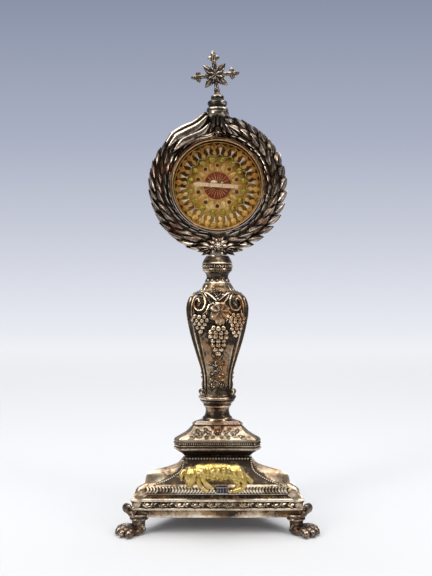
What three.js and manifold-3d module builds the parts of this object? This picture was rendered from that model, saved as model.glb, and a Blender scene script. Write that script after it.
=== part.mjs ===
// Standing reliquary of cast and embossed silver, in millimetres, +Z up, front towards -Y.
// Three lion paws carry a three-sided foot in two tiers; a turned and embossed stem carries a
// laurel wreath around a round glazed relic case, and a small bent cross stands on top.

import * as THREE from "three";
import { mergeVertices } from "three/addons/utils/BufferGeometryUtils.js";
import Module from "manifold-3d";

const wasm = await Module();
wasm.setup();

// Driving dimensions
const gap = 0.3;                  // clearance between pieces that touch
const reliefTolerance = 0.22;     // how far the facets of carved pieces may stray
const skirtBottom = 11;           // underside of the foot's skirt, above the floor
const neckHeight = 49;            // joint between the two tiers
const stemBottom = 72.8;          // joint between the upper tier and the turned stem foot
const vaseBottom = 91.3;          // joint between the stem foot and the vase
const collarBottom = 171;         // joint between the vase and the collar
const wreathBottom = 190.6;       // joint between the collar and the wreath
const wreathCentre = 240.8;
const caseRadius = 33.4;          // outside of the relic case
const caseSides = 24;             // facets around the case and what fits in or around it
const finialBottom = 291.2;       // joint between the wreath and the finial socket
const crossBottom = 304.8;
const crossCentre = 319.4;
const crossLean = -6;             // degrees that the bent cross leans to its left
const skirtFace = 33.4;           // axis to the middle of one face of the skirt
const skirtCorner = 66.4;         // axis to each corner of the skirt
const pawRadius = 61.5;           // axis to the middle of each leg
const cornerAngles = [-150, -30, 90];
const faceAngles = [-90, 30, 150];

const finishes = {
  silver: { color: 0x8c7b6c, roughness: 0.42, metalness: 0.9 },
  darkSilver: { color: 0x5a4d46, roughness: 0.45, metalness: 0.9 },
  gilt: { color: 0xc9a545, roughness: 0.35, metalness: 0.9 },
  rimGilt: { color: 0xd08a3c, roughness: 0.35, metalness: 0.8 },
  blackened: { color: 0x4b4a4c, roughness: 0.5, metalness: 0.6 },
  reliefPaper: { color: 0xb98a3a, roughness: 0.6, metalness: 0.2 },
  paper: { color: 0xe6cfa4, roughness: 0.8, metalness: 0 },
  glass: { color: 0xffffff, roughness: 0.05, metalness: 0, transparent: true, opacity: 0.15 },
};

const reliquary = new THREE.Group();

// Closed meshes to solids and back

function solid(geometry) {
  const bare = new THREE.BufferGeometry();
  bare.setAttribute("position", geometry.getAttribute("position"));
  if (geometry.index) bare.setIndex(geometry.index);
  const merged = mergeVertices(bare, 1e-4);
  const triangles = [];
  const corner = merged.index.array;
  for (let i = 0; i < corner.length; i += 3) {
    const [a, b, c] = [corner[i], corner[i + 1], corner[i + 2]];
    if (a !== b && b !== c && c !== a) triangles.push(a, b, c);
  }
  return new wasm.Manifold(new wasm.Mesh({
    numProp: 3,
    vertProperties: Float32Array.from(merged.getAttribute("position").array),
    triVerts: Uint32Array.from(triangles),
  }));
}

function surface(body) {
  const mesh = body.getMesh();
  const geometry = new THREE.BufferGeometry();
  geometry.setAttribute("position", new THREE.BufferAttribute(Float32Array.from(mesh.vertProperties), 3));
  geometry.setIndex(Array.from(mesh.triVerts));
  return geometry;
}

function addPiece(name, body, finish, tolerance = 0.1) {
  const tidy = outerSkin(body.asOriginal().simplify(tolerance));
  const piece = new THREE.Mesh(surface(tidy), new THREE.MeshStandardMaterial(finish));
  piece.name = name;
  reliquary.add(piece);
  return piece;
}

function fused(bodies) {
  return wasm.Manifold.union(bodies);
}

// The outer skin of a fused casting, without the pockets that its shapes close in.
function outerSkin(casting) {
  const skins = casting.decompose();
  return skins.reduce((widest, skin) => (skin.volume() > widest.volume() ? skin : widest));
}

// Shapes that several pieces share

const radians = THREE.MathUtils.degToRad;

function placed(geometry, { at = [0, 0, 0], turn = [0, 0, 0], size = [1, 1, 1] } = {}) {
  const place = new THREE.Matrix4().compose(
    new THREE.Vector3(...at),
    new THREE.Quaternion().setFromEuler(new THREE.Euler(...turn, "ZYX")),
    new THREE.Vector3(...size),
  );
  return geometry.clone().applyMatrix4(place);
}

// Rings with the same number of points, joined one to the next and closed flat at both ends.
function loft(rings) {
  const sides = rings[0].length;
  const points = rings.flat();
  const triangles = [];
  for (let level = 0; level < rings.length - 1; level += 1) {
    for (let side = 0; side < sides; side += 1) {
      const next = (side + 1) % sides;
      const [a, b] = [level * sides + side, level * sides + next];
      triangles.push(a, b, b + sides, a, b + sides, a + sides);
    }
  }
  const last = (rings.length - 1) * sides;
  for (let side = 1; side < sides - 1; side += 1) {
    triangles.push(0, side + 1, side);
    triangles.push(last, last + side, last + side + 1);
  }
  const geometry = new THREE.BufferGeometry().setFromPoints(points);
  geometry.setIndex(triangles);
  return geometry;
}

// A triangle whose flat faces end at halfFace, with one blunt point beyond at each corner.
function bluntTriangle(face, halfFace, corner, height) {
  return faceAngles.flatMap((angle) => {
    const out = radians(angle);
    const ends = [-halfFace, halfFace].map((along) => new THREE.Vector3(
      face * Math.cos(out) - along * Math.sin(out), face * Math.sin(out) + along * Math.cos(out), height));
    const turn = out + Math.PI / 3;
    return [...ends, new THREE.Vector3(corner * Math.cos(turn), corner * Math.sin(turn), height)];
  });
}

function turned(profile, sides) {
  const outline = profile.map(([radius, height]) => new THREE.Vector2(radius, height));
  return new THREE.LatheGeometry(outline, sides).rotateX(Math.PI / 2);
}

function smoothProfile(points, count) {
  const curve = new THREE.SplineCurve(points.map(([radius, height]) => new THREE.Vector2(radius, height)));
  return curve.getSpacedPoints(count).map((point) => [point.x, point.y]);
}

// A pointed leaf along +X with a raised midrib, lying on the XY plane.
function leafBlade(length, width, thickness) {
  const broad = 0.42 * length;
  const points = [
    [0, 0, 0], [broad, -width / 2, 0], [length, 0, 0], [broad, width / 2, 0],
    [broad, 0, thickness], [broad, 0, -thickness],
  ].map((point) => new THREE.Vector3(...point));
  const geometry = new THREE.BufferGeometry().setFromPoints(points);
  geometry.setIndex([0, 1, 4, 1, 2, 4, 2, 3, 4, 3, 0, 4, 1, 0, 5, 2, 1, 5, 3, 2, 5, 0, 3, 5]);
  return geometry;
}

const stud = new THREE.OctahedronGeometry(1, 0);
const bead = new THREE.IcosahedronGeometry(1, 0);
const lump = new THREE.SphereGeometry(1, 6, 4);

// The same thing on each side of a three-sided piece
function aroundAxis(body, angles) {
  return angles.map((angle) => body.rotate([0, 0, angle]));
}

// Lower tier of the foot: a hollow three-sided skirt with mouldings, a gadrooned band and
// broad smooth shoulders at the corners that run in to a small neck.

const wallThickness = 1.6;
const gadroonBottom = 28.2;
const gadroonTop = 32.4;

function skirtRings() {
  const frieze = skirtBottom + 7.4;
  const brownBand = skirtBottom + 13.2;
  const ring = bluntTriangle;
  return [
    ring(13.2, 22.4, 26.8, neckHeight),
    ring(14.4, 24.2, 28.6, 47.4),
    ring(16.6, 24.3, 31.5, 44.8),
    ring(18.6, 24.6, 39.4, 43),
    ring(20.5, 25, 50.5, 41.5),
    ring(23.2, 27, 55.8, 39.4),
    ring(26.6, 31.6, 56.9, 37),
    ring(29.4, 36.8, 57.6, 35),
    ring(30.6, 42, 59.8, 33.4),
    ring(skirtFace - 0.4, 50, 62.4, gadroonTop),
    ring(skirtFace, 52.4, 65.2, gadroonBottom),
    ring(skirtFace - 0.6, 52, 65.2, gadroonBottom - 1.2),
    ring(skirtFace + 0.2, 53.6, 66, brownBand),
    ring(skirtFace + 0.9, 54.4, 66.7, brownBand - 0.6),
    ring(skirtFace + 0.2, 54.6, 66, frieze + 3.4),
    ring(skirtFace - 0.2, 55.4, 65.6, frieze),
    ring(skirtFace + 0.7, 56.6, 67, frieze - 0.8),
    ring(skirtFace + 0.7, 56.6, 67, frieze - 1.6),
    ring(skirtFace, 56, 66.2, frieze - 2.2),
    ring(skirtFace, 56, skirtCorner, skirtBottom),
  ];
}

function hollowRings() {
  const inner = skirtFace - wallThickness;
  return [
    bluntTriangle(inner, 52.4, skirtCorner - 2 * wallThickness, skirtBottom),
    bluntTriangle(inner - 0.4, 48, 61.4, gadroonBottom),
    bluntTriangle(27.6, 34.6, 55, 34.4),
    bluntTriangle(22.2, 25.6, 53, 38),
    bluntTriangle(15, 17, 36, 41),
  ];
}

function gadroonRow() {
  const pitch = 5;
  const halfBand = 49.5;
  const count = Math.floor((2 * halfBand) / pitch);
  const tongue = placed(stud, { size: [2, 1.5, 2.2], turn: [0, radians(24), 0] });
  const row = [];
  for (let i = 0; i < count; i += 1) {
    const across = (i - (count - 1) / 2) * pitch;
    const middle = (gadroonBottom + gadroonTop) / 2;
    row.push(solid(placed(tongue, { at: [across, -skirtFace + 0.5, middle] })));
  }
  return row;
}

function lowerTier() {
  const rings = [...skirtRings(), ...hollowRings()].reverse();
  const row = fused(gadroonRow());
  return fused([solid(loft(rings)), ...aroundAxis(row, [0, 120, 240])]);
}

// One lion's paw with its leg and the scroll that curls up outside the skirt, along +X.

function legOutline() {
  const [scrollX, scrollZ] = [skirtCorner + 3.3, skirtBottom + 7.4];
  const outline = new THREE.Shape();
  outline.moveTo(pawRadius - 2.6, 0.6);
  outline.lineTo(pawRadius + 5.5, 0.6);
  outline.quadraticCurveTo(pawRadius + 6.4, 4, pawRadius + 5.2, 7);
  outline.lineTo(pawRadius + 6.4, 8.2);
  outline.quadraticCurveTo(pawRadius + 7.6, 9.4, scrollX + 1.8, scrollZ - 2.6);
  outline.absellipse(scrollX, scrollZ, 2.6, 3.1, -0.6, Math.PI, false, 0);
  outline.lineTo(scrollX - 2.6, 13);
  outline.lineTo(scrollX - 3.2, skirtBottom - gap);
  outline.lineTo(pawRadius - 4.4, skirtBottom - gap);
  outline.lineTo(pawRadius - 4.4, 8.6);
  outline.lineTo(pawRadius - 2.2, 7.6);
  outline.quadraticCurveTo(pawRadius - 3.4, 4, pawRadius - 2.6, 0.6);
  return outline;
}

function upright(shape, width, steps) {
  const plate = new THREE.ExtrudeGeometry(shape, { depth: width, bevelEnabled: false, curveSegments: steps });
  return plate.translate(0, 0, -width / 2).rotateX(Math.PI / 2);
}

function toe(spread) {
  const claw = placed(lump, { at: [11, 0, 1.4], size: [6.2, 2.3, 4.6], turn: [0, radians(8), 0] });
  return solid(claw).rotate([0, 0, spread]).translate([pawRadius, 0, 0]);
}

function lionPaw() {
  const palm = placed(lump, { at: [pawRadius + 3.5, 0, 2.4], size: [7.4, 6.8, 4.6] });
  const sole = new THREE.CylinderGeometry(5, 5, 2, 8).rotateX(Math.PI / 2);
  const collar = new THREE.BoxGeometry(10.4, 10.6, 2);
  const parts = [
    solid(upright(legOutline(), 8.6, 3)),
    solid(palm),
    solid(placed(sole, { at: [pawRadius + 3.4, 0, 1], size: [1.2, 1, 1] })),
    solid(placed(collar, { at: [pawRadius + 0.9, 0, skirtBottom - gap - 1.1] })),
    ...[-33, -11, 11, 33].map(toe),
  ];
  const floorSlab = solid(new THREE.BoxGeometry(60, 60, 10).translate(pawRadius, 0, -5));
  return fused(parts).subtract(floorSlab);
}

// Gilded lamb, an applied casting with a flat back, lying on a dark book. The figure is
// shaped about its own middle and then set against the foot.

const lambBack = -skirtFace - 1.5;
const lambMiddle = [-1.6, 39.5];

function lambMass(x, z, sizeX, depth, sizeZ, tilt = 0) {
  return solid(placed(lump, { at: [x, -1.2, z], size: [sizeX, depth, sizeZ], turn: [0, radians(tilt), 0] }));
}

function lambBody() {
  return [
    lambMass(-1.5, 2.8, 12, 5.2, 7, -3),
    lambMass(11.5, 2.6, 9.2, 4.8, 6.6, 12),
    lambMass(-11, 3.6, 6.6, 5, 6, 26),
    lambMass(-18.8, 1.8, 4.8, 4.6, 5, 20),
    lambMass(-18.4, -3.6, 3, 4.2, 4.6, 8),
    lambMass(-23, 1.4, 1.9, 3.6, 4.2, 18),
    lambMass(-6.6, -3.6, 2.8, 4.2, 5.2, 35),
    lambMass(-5.6, -7.8, 5.2, 4.2, 2, 26),
    lambMass(-0.8, -6.2, 4.8, 4, 2, 30),
    lambMass(13.4, -4, 4.8, 4.6, 5, -20),
    lambMass(10.4, -7.9, 5.4, 4.4, 2.2, -14),
    lambMass(21.6, -0.6, 5.4, 3.6, 2.3, 46),
    lambMass(24, -3.6, 2.8, 3.4, 1.9, 10),
  ];
}

function fleeceCurls() {
  const curls = [];
  for (let row = 0; row < 3; row += 1) {
    for (let i = 0; i < 4; i += 1) {
      const x = -9.4 + row * 1.6 + i * 6.6;
      const z = 6.4 - row * 3.3 - 0.008 * (x - 2) ** 2;
      curls.push(solid(placed(stud, { at: [x, -4.8 - row * 0.3, z], size: [2.3, 1.6, 2.1] })));
    }
  }
  return curls;
}

function lamb() {
  const [across, up] = lambMiddle;
  const figure = fused([...lambBody(), ...fleeceCurls()]);
  const behind = solid(new THREE.BoxGeometry(90, 30, 60).translate(0, 15, 0));
  const bookNotch = solid(new THREE.BoxGeometry(8.4, 30, 12).translate(4.6, 0, -11.4));
  return figure.subtract(behind).subtract(bookNotch).translate([across, lambBack, up]);
}

function book() {
  const [across, up] = lambMiddle;
  const cover = new THREE.BoxGeometry(7.8, 4.6, 4.6);
  return solid(cover.translate(across + 4.6, lambBack - 2.6, up - 8));
}

// Upper tier of the foot: a smaller three-sided plate over a cove, with a flower on each face.

// Face and strip are distances from the axis to a face and to the strip across a corner.
function cutTriangle(face, strip, height) {
  const halfFace = (strip - face / 2) / Math.cos(Math.PI / 6);
  return bluntTriangle(face, halfFace, strip, height);
}

function upperTierRings() {
  const plateTop = 61;
  return [
    cutTriangle(13.8, 27, neckHeight + gap),
    cutTriangle(15.2, 28, 50.6),
    cutTriangle(18, 30, 52.3),
    cutTriangle(18.6, 31, 53.4),
    cutTriangle(20, 33, 54),
    cutTriangle(20.3, 33.4, 55.4),
    cutTriangle(19.5, 32.6, 56),
    cutTriangle(20.1, 33.2, 56.7),
    cutTriangle(19.4, 32.7, 57.6),
    cutTriangle(19.4, 32.8, 59.4),
    cutTriangle(20, 33.2, 60),
    cutTriangle(19.6, 32.8, plateTop + 0.6),
    cutTriangle(18.6, 31.4, 63.8),
    cutTriangle(15.5, 24.4, 66),
    cutTriangle(12.9, 21.2, 68.4),
    cutTriangle(11.2, 19, 70.2),
    cutTriangle(11.2, 18.8, stemBottom - gap - 0.8),
    cutTriangle(10.2, 17.8, stemBottom - gap),
  ];
}

function flowerSpray() {
  const flower = [solid(placed(stud, { size: [1, 1, 1] }))];
  for (let petal = 0; petal < 5; petal += 1) {
    const turn = petal * 2 * Math.PI / 5;
    const leaf = placed(leafBlade(3.4, 2, 0.9), { turn: [0, 0, turn] });
    flower.push(solid(leaf));
  }
  return fused(flower).rotate([48, 0, 0]).translate([0, -16.6, 65.4]);
}

function upperTier() {
  return fused([solid(loft(upperTierRings())), ...aroundAxis(flowerSpray(), [0, 120, 240])]);
}

// Turned foot of the stem

function stemFoot() {
  const profile = [
    [0, stemBottom], [10.6, stemBottom], [10.8, 73.6], [9.6, 74.6], [9, 76.3], [8.2, 79.2],
    [8.9, 81.2], [10, 82.7], [10.5, 84.1], [11.9, 85.6], [12.6, 87], [13.6, 88.2], [13, 89.8],
    [11.4, 90.4], [11.2, vaseBottom - gap], [0, vaseBottom - gap],
  ];
  return solid(turned(profile, 18));
}

// Vase-shaped embossed stem: a rounded triangle in plan, with a double-ridged strap down
// each corner, grapes and a vine leaf in relief on the front and smaller bunches behind.
// Its curve gives the distance from the axis to the corners.

const vaseCurve = [
  [11.2, vaseBottom], [11.5, 101], [12.7, 108.7], [16.3, 120.2], [19.7, 131.8], [22.3, 142],
  [23.5, 151], [22.2, 159.5], [15.8, 165.6], [10, 169.2], [8.8, collarBottom - gap],
];
const vaseFlatness = 0.8;         // axis to the middle of a face, as a share of that distance

function vaseFace(height) {
  const upper = vaseCurve.findIndex((point) => point[1] >= height);
  const [low, high] = [vaseCurve[Math.max(upper - 1, 0)], vaseCurve[Math.max(upper, 1)]];
  return vaseFlatness * THREE.MathUtils.mapLinear(height, low[1], high[1], low[0], high[0]);
}

// One ring: each strap is a groove between two ridges, then plain points reach the face.
function vaseSection(radius, height, ridge) {
  const strapHalf = radians(10);
  const half = [[0, -0.3], [0.6, 0.6], [1, 0.5], [1.2, -0.5]].map(([across, step]) => (
    [across * strapHalf, radius + step * ridge]));
  const blend = THREE.MathUtils.smoothstep(radius, 11, 17);
  for (const [angle, share] of [[34, 0.86], [60, vaseFlatness]]) {
    half.push([radians(angle), radius * THREE.MathUtils.lerp(0.94, share, blend) - ridge / 2]);
  }
  const mirrored = half.slice(1, -1).reverse().map(([angle, reach]) => [-angle, reach]);
  return cornerAngles.flatMap((corner) => [...mirrored, ...half].map(([angle, reach]) => {
    const turn = radians(corner) + angle;
    return new THREE.Vector3(reach * Math.cos(turn), reach * Math.sin(turn), height);
  }));
}

function vaseBody() {
  const rings = smoothProfile(vaseCurve, 13).map(([radius, height], i) => {
    const ridge = i === 0 || i > 10 ? 0.05 : 1;
    return vaseSection(radius, height, ridge);
  });
  return solid(loft(rings));
}

function strapScrolls() {
  const curl = placed(new THREE.CylinderGeometry(2.4, 2.4, 4, 7), { at: [13.2, 0, vaseBottom + 2.4] });
  const volute = placed(new THREE.CylinderGeometry(3, 3, 4.8, 8), { at: [19.8, 0, 159.6] });
  return fused([solid(curl), solid(volute)]);
}

function grapeBunch(turn, top, rows, pitch) {
  const reliefRise = 0.05;
  const grapes = [];
  for (let row = 0; row < rows; row += 1) {
    const height = top - row * pitch * 0.88;
    const radius = vaseFace(height) + reliefRise * Math.abs(turn);
    const across = rows - row;
    for (let i = 0; i < across; i += 1) {
      const angle = radians(turn) + (i - (across - 1) / 2) * pitch / radius;
      const at = [radius * Math.sin(angle), -radius * Math.cos(angle), height];
      grapes.push(solid(placed(stud, { at, size: Array(3).fill(pitch * 0.62) })));
    }
  }
  return grapes;
}

function vineLeaf() {
  const lobes = [-130, -65, 0, 65, 130].map((spread) => {
    const lobe = placed(leafBlade(7, 4.4, 1.6), { turn: [0, 0, radians(spread - 90)] });
    return solid(lobe.rotateX(Math.PI / 2));
  });
  return fused(lobes).translate([1.2, -vaseFace(148) + 0.6, 148.5]);
}

function vase() {
  const scrolls = aroundAxis(strapScrolls(), cornerAngles);
  const bunches = [
    ...grapeBunch(0, 137.5, 4, 4), ...grapeBunch(-38, 148, 3, 4), ...grapeBunch(38, 147, 3, 4),
  ];
  const rearBunches = aroundAxis(fused(grapeBunch(0, 139, 2, 5)), [120, 240]);
  return fused([vaseBody(), ...scrolls, vineLeaf(), ...bunches, ...rearBunches]);
}

// Collar between the vase and the wreath

function collar() {
  const profile = [
    [0, collarBottom], [8.2, collarBottom], [8.3, 173.5], [8.7, 176.4], [9.2, 178], [10.4, 179.4],
    [11, 180.6], [11, 185], [9.6, 187.9], [8.2, wreathBottom - gap],
    [0, wreathBottom - gap],
  ];
  return solid(turned(profile, 18));
}

// Laurel wreath: a flat-backed ring under two branches of leaves that rise from a rosette.

function wreathRing() {
  const [inner, outer] = [caseRadius + gap, 47.4];
  const profile = [[inner, -3], [outer, -3], [outer + 0.6, 0], [43, 4.6], [inner + 2.4, 5], [inner, 3], [inner, -3]];
  return solid(turned(profile, caseSides));
}

function branchLeaf(side, rise, row) {
  const angle = radians(-90 + side * rise);
  const heading = angle + side * (Math.PI / 2 - row.outward);
  const at = [row.radius * Math.cos(angle), row.radius * Math.sin(angle), row.height];
  const blade = placed(leafBlade(row.length, row.width, 2.2), { turn: [0, radians(-6), 0] });
  return solid(placed(blade, { at, turn: [0, 0, heading] }));
}

function wreathLeaves() {
  const rows = [
    { radius: 45.6, outward: radians(8), height: 1.6, length: 18, width: 7.4, count: 9, start: 3 },
    { radius: 41.6, outward: radians(4), height: 4.6, length: 17, width: 6.6, count: 9, start: 20 },
    { radius: 38, outward: radians(-8), height: 3.6, length: 16, width: 5.8, count: 9, start: 16 },
  ];
  const leaves = [];
  for (const row of rows) {
    for (let i = 0; i < row.count; i += 1) {
      const rise = row.start + i * (158 - row.start) / (row.count - 1);
      leaves.push(branchLeaf(-1, rise, row), branchLeaf(1, rise, row));
    }
  }
  return leaves;
}

function wreathRosette() {
  const petals = [];
  for (let petal = 0; petal < 8; petal += 1) {
    const turn = petal * Math.PI / 4;
    const reach = 6.6 + 1.6 * Math.abs(Math.cos(turn));
    petals.push(solid(placed(leafBlade(reach, 3.2, 1.8), { at: [0.6, -42.4, 6.9], turn: [0, 0, turn + 0.2] })));
  }
  return [...petals, solid(placed(bead, { at: [0.6, -42.4, 8], size: [2.6, 2.6, 1.9] }))];
}

function crowningLeaves() {
  return [-1, 1].flatMap((side) => [0, 1].map((row) => {
    const blade = placed(leafBlade(26 - row * 2, 5, 2), { turn: [0, radians(-3), 0] });
    const at = [side * (25 - row * 1.4), 35.4 - row * 4, 3.8 + row * 0.6];
    const heading = side > 0 ? radians(150 - row * 4) : radians(30 + row * 4);
    return solid(placed(blade, { at, turn: [0, 0, heading] }));
  }));
}

// The flat back of the crown sweeps in from the ring to the finial.
function crownPlate() {
  const [top, low] = [finialBottom - gap - wreathCentre, 40];
  const plate = new THREE.Shape();
  plate.moveTo(-26, low);
  plate.quadraticCurveTo(-13, low + 7, -8.6, top);
  plate.lineTo(8.6, top);
  plate.quadraticCurveTo(13, low + 7, 26, low);
  const slab = new THREE.ExtrudeGeometry(plate, { depth: 6, bevelEnabled: false, curveSegments: 3 });
  return solid(slab.translate(0, 0, -2.6));
}

function wreathStub(bottom, top, radius) {
  return solid(turned([[0, bottom], [radius, bottom], [radius * 0.94, top], [0, top]], 16));
}

function wreath() {
  const stubReach = 43;           // from the middle of the ring to where each turned stub ends in it
  const flat = fused([wreathRing(), ...wreathLeaves(), ...wreathRosette(), ...crowningLeaves(), crownPlate()]);
  const head = flat.rotate([90, 0, 0]).translate([0, 0, wreathCentre]);
  const foot = wreathStub(wreathBottom, wreathCentre - stubReach, 7.4);
  const crown = wreathStub(wreathCentre + stubReach, finialBottom - gap, 8.2);
  const opening = turned([[0, -20], [caseRadius + gap, -20], [caseRadius + gap, 20], [0, 20]], caseSides);
  const window = solid(opening).rotate([90, 0, 0]).translate([0, 0, wreathCentre]);
  const above = solid(new THREE.BoxGeometry(40, 40, 20).translate(0, 0, finialBottom - gap + 10));
  return fused([head, foot, crown]).subtract(window).subtract(above);
}

// Round relic case and what it holds: rim, glass, board and label. Depths run from the
// wreath's middle plane, positive towards the back.

const caseWall = 1.3;
const rimFront = -5.4;
const glassFront = -4;
const boardFront = 3.4;
const caseBack = 8.8;

function facingFront(profile) {
  const depthwise = profile.map(([radius, depth]) => [radius, -depth]).reverse();
  return solid(turned(depthwise, caseSides)).rotate([90, 0, 0]).translate([0, 0, wreathCentre]);
}

function relicCase() {
  const inner = caseRadius - caseWall;
  const floor = boardFront + 1.5 + gap;
  return facingFront([
    [0, floor], [inner, floor], [inner, glassFront - 0.1], [caseRadius, glassFront - 0.1],
    [caseRadius, floor + 0.6], [caseRadius - 4, caseBack - 1], [0, caseBack],
  ]);
}

function giltRim() {
  const back = glassFront - 0.1 - gap;
  return facingFront([
    [caseRadius - 2, back], [caseRadius - 1.7, rimFront + 0.3], [caseRadius - 0.8, rimFront],
    [caseRadius, rimFront + 0.4], [caseRadius, back], [caseRadius - 2, back],
  ]);
}

function caseGlass() {
  const radius = caseRadius - caseWall - gap;
  return facingFront([[0, glassFront], [radius, glassFront], [radius, glassFront + 1.4], [0, glassFront + 1.4]]);
}

function ringOf(count, radius, start, make) {
  return Array.from({ length: count }, (_, i) => {
    const angle = radians(start + i * 360 / count);
    return make(radius * Math.cos(angle), radius * Math.sin(angle), angle);
  });
}

function relicBoard() {
  const radius = caseRadius - caseWall - gap;
  const back = boardFront + 1.5;
  const board = facingFront([[0, boardFront], [radius, boardFront], [radius, back], [0, back]]);
  const gem = (x, y) => solid(placed(stud, { at: [x, y, -boardFront], size: [1.2, 1.2, 1] }));
  const boss = (x, y) => solid(placed(stud, { at: [x, y, -boardFront], size: [1.9, 1.9, 1.2] }));
  const drop = (x, y, angle) => {
    const blade = placed(leafBlade(4.6, 1.7, 1.2), { turn: [0, 0, angle + Math.PI] });
    return solid(blade.translate(x, y, -boardFront));
  };
  const sun = new THREE.ConeGeometry(11.4, 1.8, 12).rotateX(Math.PI / 2);
  const relief = fused([
    ...ringOf(10, 14.4, 90, gem), ...ringOf(16, 19, 101, boss), ...ringOf(18, 28.4, 95, drop),
    solid(sun.translate(0, 0, -boardFront + 0.4)),
  ]);
  return board.add(relief.rotate([90, 0, 0]).translate([0, 0, wreathCentre]));
}

function relicLabel() {
  const strip = new THREE.BoxGeometry(32, 0.4, 2.7);
  return solid(placed(strip, { at: [-1.2, -0.1, wreathCentre], turn: [0, radians(4), 0] }));
}

// Finial: a turned socket and a small cross with budded ends, bent a little to one side.

function finialSocket() {
  const profile = [
    [0, finialBottom], [9.4, finialBottom], [8.8, 294.4], [7.9, 296], [6.8, 297.4], [7.3, 298.6],
    [7.3, 300.2], [5.6, 301.6], [4.7, 303], [4.6, crossBottom - gap], [0, crossBottom - gap],
  ];
  return solid(turned(profile, 16));
}

function buddedArm(length, turn) {
  const arm = [
    solid(placed(new THREE.BoxGeometry(length, 2, 2.2), { at: [length / 2, 0, 0] })),
    solid(placed(stud, { at: [length, 0, 0], size: [2.4, 2.3, 1.8] })),
    solid(placed(stud, { at: [length - 3, 2.3, 0], size: [2.1, 2.1, 1.7] })),
    solid(placed(stud, { at: [length - 3, -2.3, 0], size: [2.1, 2.1, 1.7] })),
  ];
  return fused(arm).rotate([0, 0, turn]);
}

function finialCross() {
  const arms = [buddedArm(15.6, 0), buddedArm(15.8, 90), buddedArm(15.6, 180)];
  const shaft = new THREE.CylinderGeometry(1.6, 3, crossCentre - crossBottom, 8);
  const leaves = [45, 135, 225, 315].map((turn) => {
    const blade = placed(leafBlade(11.4, 4.4, 1.6), { turn: [0, 0, radians(turn)] });
    return solid(blade);
  });
  const petals = ringOf(6, 2.6, 30, (x, y) => solid(placed(stud, { at: [x, y, 1.2], size: [2.2, 2.2, 1.6] })));
  const shaftSolid = solid(shaft.translate(0, -(crossCentre - crossBottom) / 2, 0));
  const heart = solid(placed(bead, { size: [3.4, 3.4, 2.6] }));
  const whole = fused([...arms, shaftSolid, ...leaves, ...petals, heart]).rotate([90, 0, 0]);
  const leaned = whole.translate([0, 0, crossCentre - crossBottom]).rotate([0, crossLean, 0]);
  const below = solid(new THREE.BoxGeometry(20, 20, 10).translate(0, 0, -5));
  return leaned.subtract(below).translate([0, 0, crossBottom]);
}

// Assembly

addPiece("lower_base", lowerTier(), finishes.silver);
const pawNames = ["paw_foot_left", "paw_foot_right", "paw_foot_back"];
pawNames.forEach((name, i) => {
  const paw = addPiece(name, lionPaw(), finishes.darkSilver);
  paw.rotation.z = radians(cornerAngles[i]);
});
addPiece("lamb", lamb(), finishes.gilt, reliefTolerance);
addPiece("sealed_book", book(), finishes.blackened);
addPiece("upper_base", upperTier(), finishes.silver);
addPiece("stem_foot", stemFoot(), finishes.silver);
addPiece("vase", vase(), finishes.silver, reliefTolerance);
addPiece("collar", collar(), finishes.silver);
addPiece("wreath", wreath(), finishes.darkSilver, reliefTolerance);
addPiece("relic_case", relicCase(), finishes.silver);
addPiece("gilt_rim", giltRim(), finishes.rimGilt);
addPiece("case_glass", caseGlass(), finishes.glass);
addPiece("relic_board", relicBoard(), finishes.reliefPaper);
addPiece("relic_label", relicLabel(), finishes.paper);
addPiece("finial_socket", finialSocket(), finishes.silver);
addPiece("finial_cross", finialCross(), finishes.darkSilver, reliefTolerance);

// The origin is on the floor under the middle of the outline.
const outline = new THREE.Box3().setFromObject(reliquary);
const middle = outline.getCenter(new THREE.Vector3());
reliquary.position.set(-middle.x, -middle.y, -outline.min.z);

export default reliquary;
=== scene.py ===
import math

import bmesh
import bpy
import numpy as np
from mathutils import Matrix, Vector
from mathutils.bvhtree import BVHTree
from mathutils.noise import noise as dent


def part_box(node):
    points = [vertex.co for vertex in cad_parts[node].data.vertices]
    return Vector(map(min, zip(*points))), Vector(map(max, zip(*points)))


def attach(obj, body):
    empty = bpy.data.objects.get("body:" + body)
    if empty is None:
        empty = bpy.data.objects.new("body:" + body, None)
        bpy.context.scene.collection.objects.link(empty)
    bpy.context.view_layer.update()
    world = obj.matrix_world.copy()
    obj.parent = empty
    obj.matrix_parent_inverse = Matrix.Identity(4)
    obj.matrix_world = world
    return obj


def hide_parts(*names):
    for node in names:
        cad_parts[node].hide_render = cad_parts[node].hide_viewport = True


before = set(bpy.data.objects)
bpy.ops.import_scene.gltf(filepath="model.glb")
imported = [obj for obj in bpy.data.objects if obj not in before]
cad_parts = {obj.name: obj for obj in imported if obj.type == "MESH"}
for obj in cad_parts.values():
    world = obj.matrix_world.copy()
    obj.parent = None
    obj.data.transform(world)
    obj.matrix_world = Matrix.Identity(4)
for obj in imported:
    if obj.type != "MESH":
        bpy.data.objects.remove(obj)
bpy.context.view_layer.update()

# Lower tier of the foot. A hollow three-sided skirt cast in silver, with smooth shoulders over
# its corners, hollow faces edged with beads, a band of gadroons and a chased frieze above a
# plain fascia. The recesses are brown with tarnish and the edges are rubbed bright.

stem_low, stem_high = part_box("stem_foot")
stem_axis = Vector(((stem_low.x + stem_high.x) / 2, (stem_low.y + stem_high.y) / 2, 0))


def span(node):
    """Lowest and highest corner of a CAD node, in millimetres about the stem's axis."""
    low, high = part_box(node)
    return (low - stem_axis) * 1000, (high - stem_axis) * 1000


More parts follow.
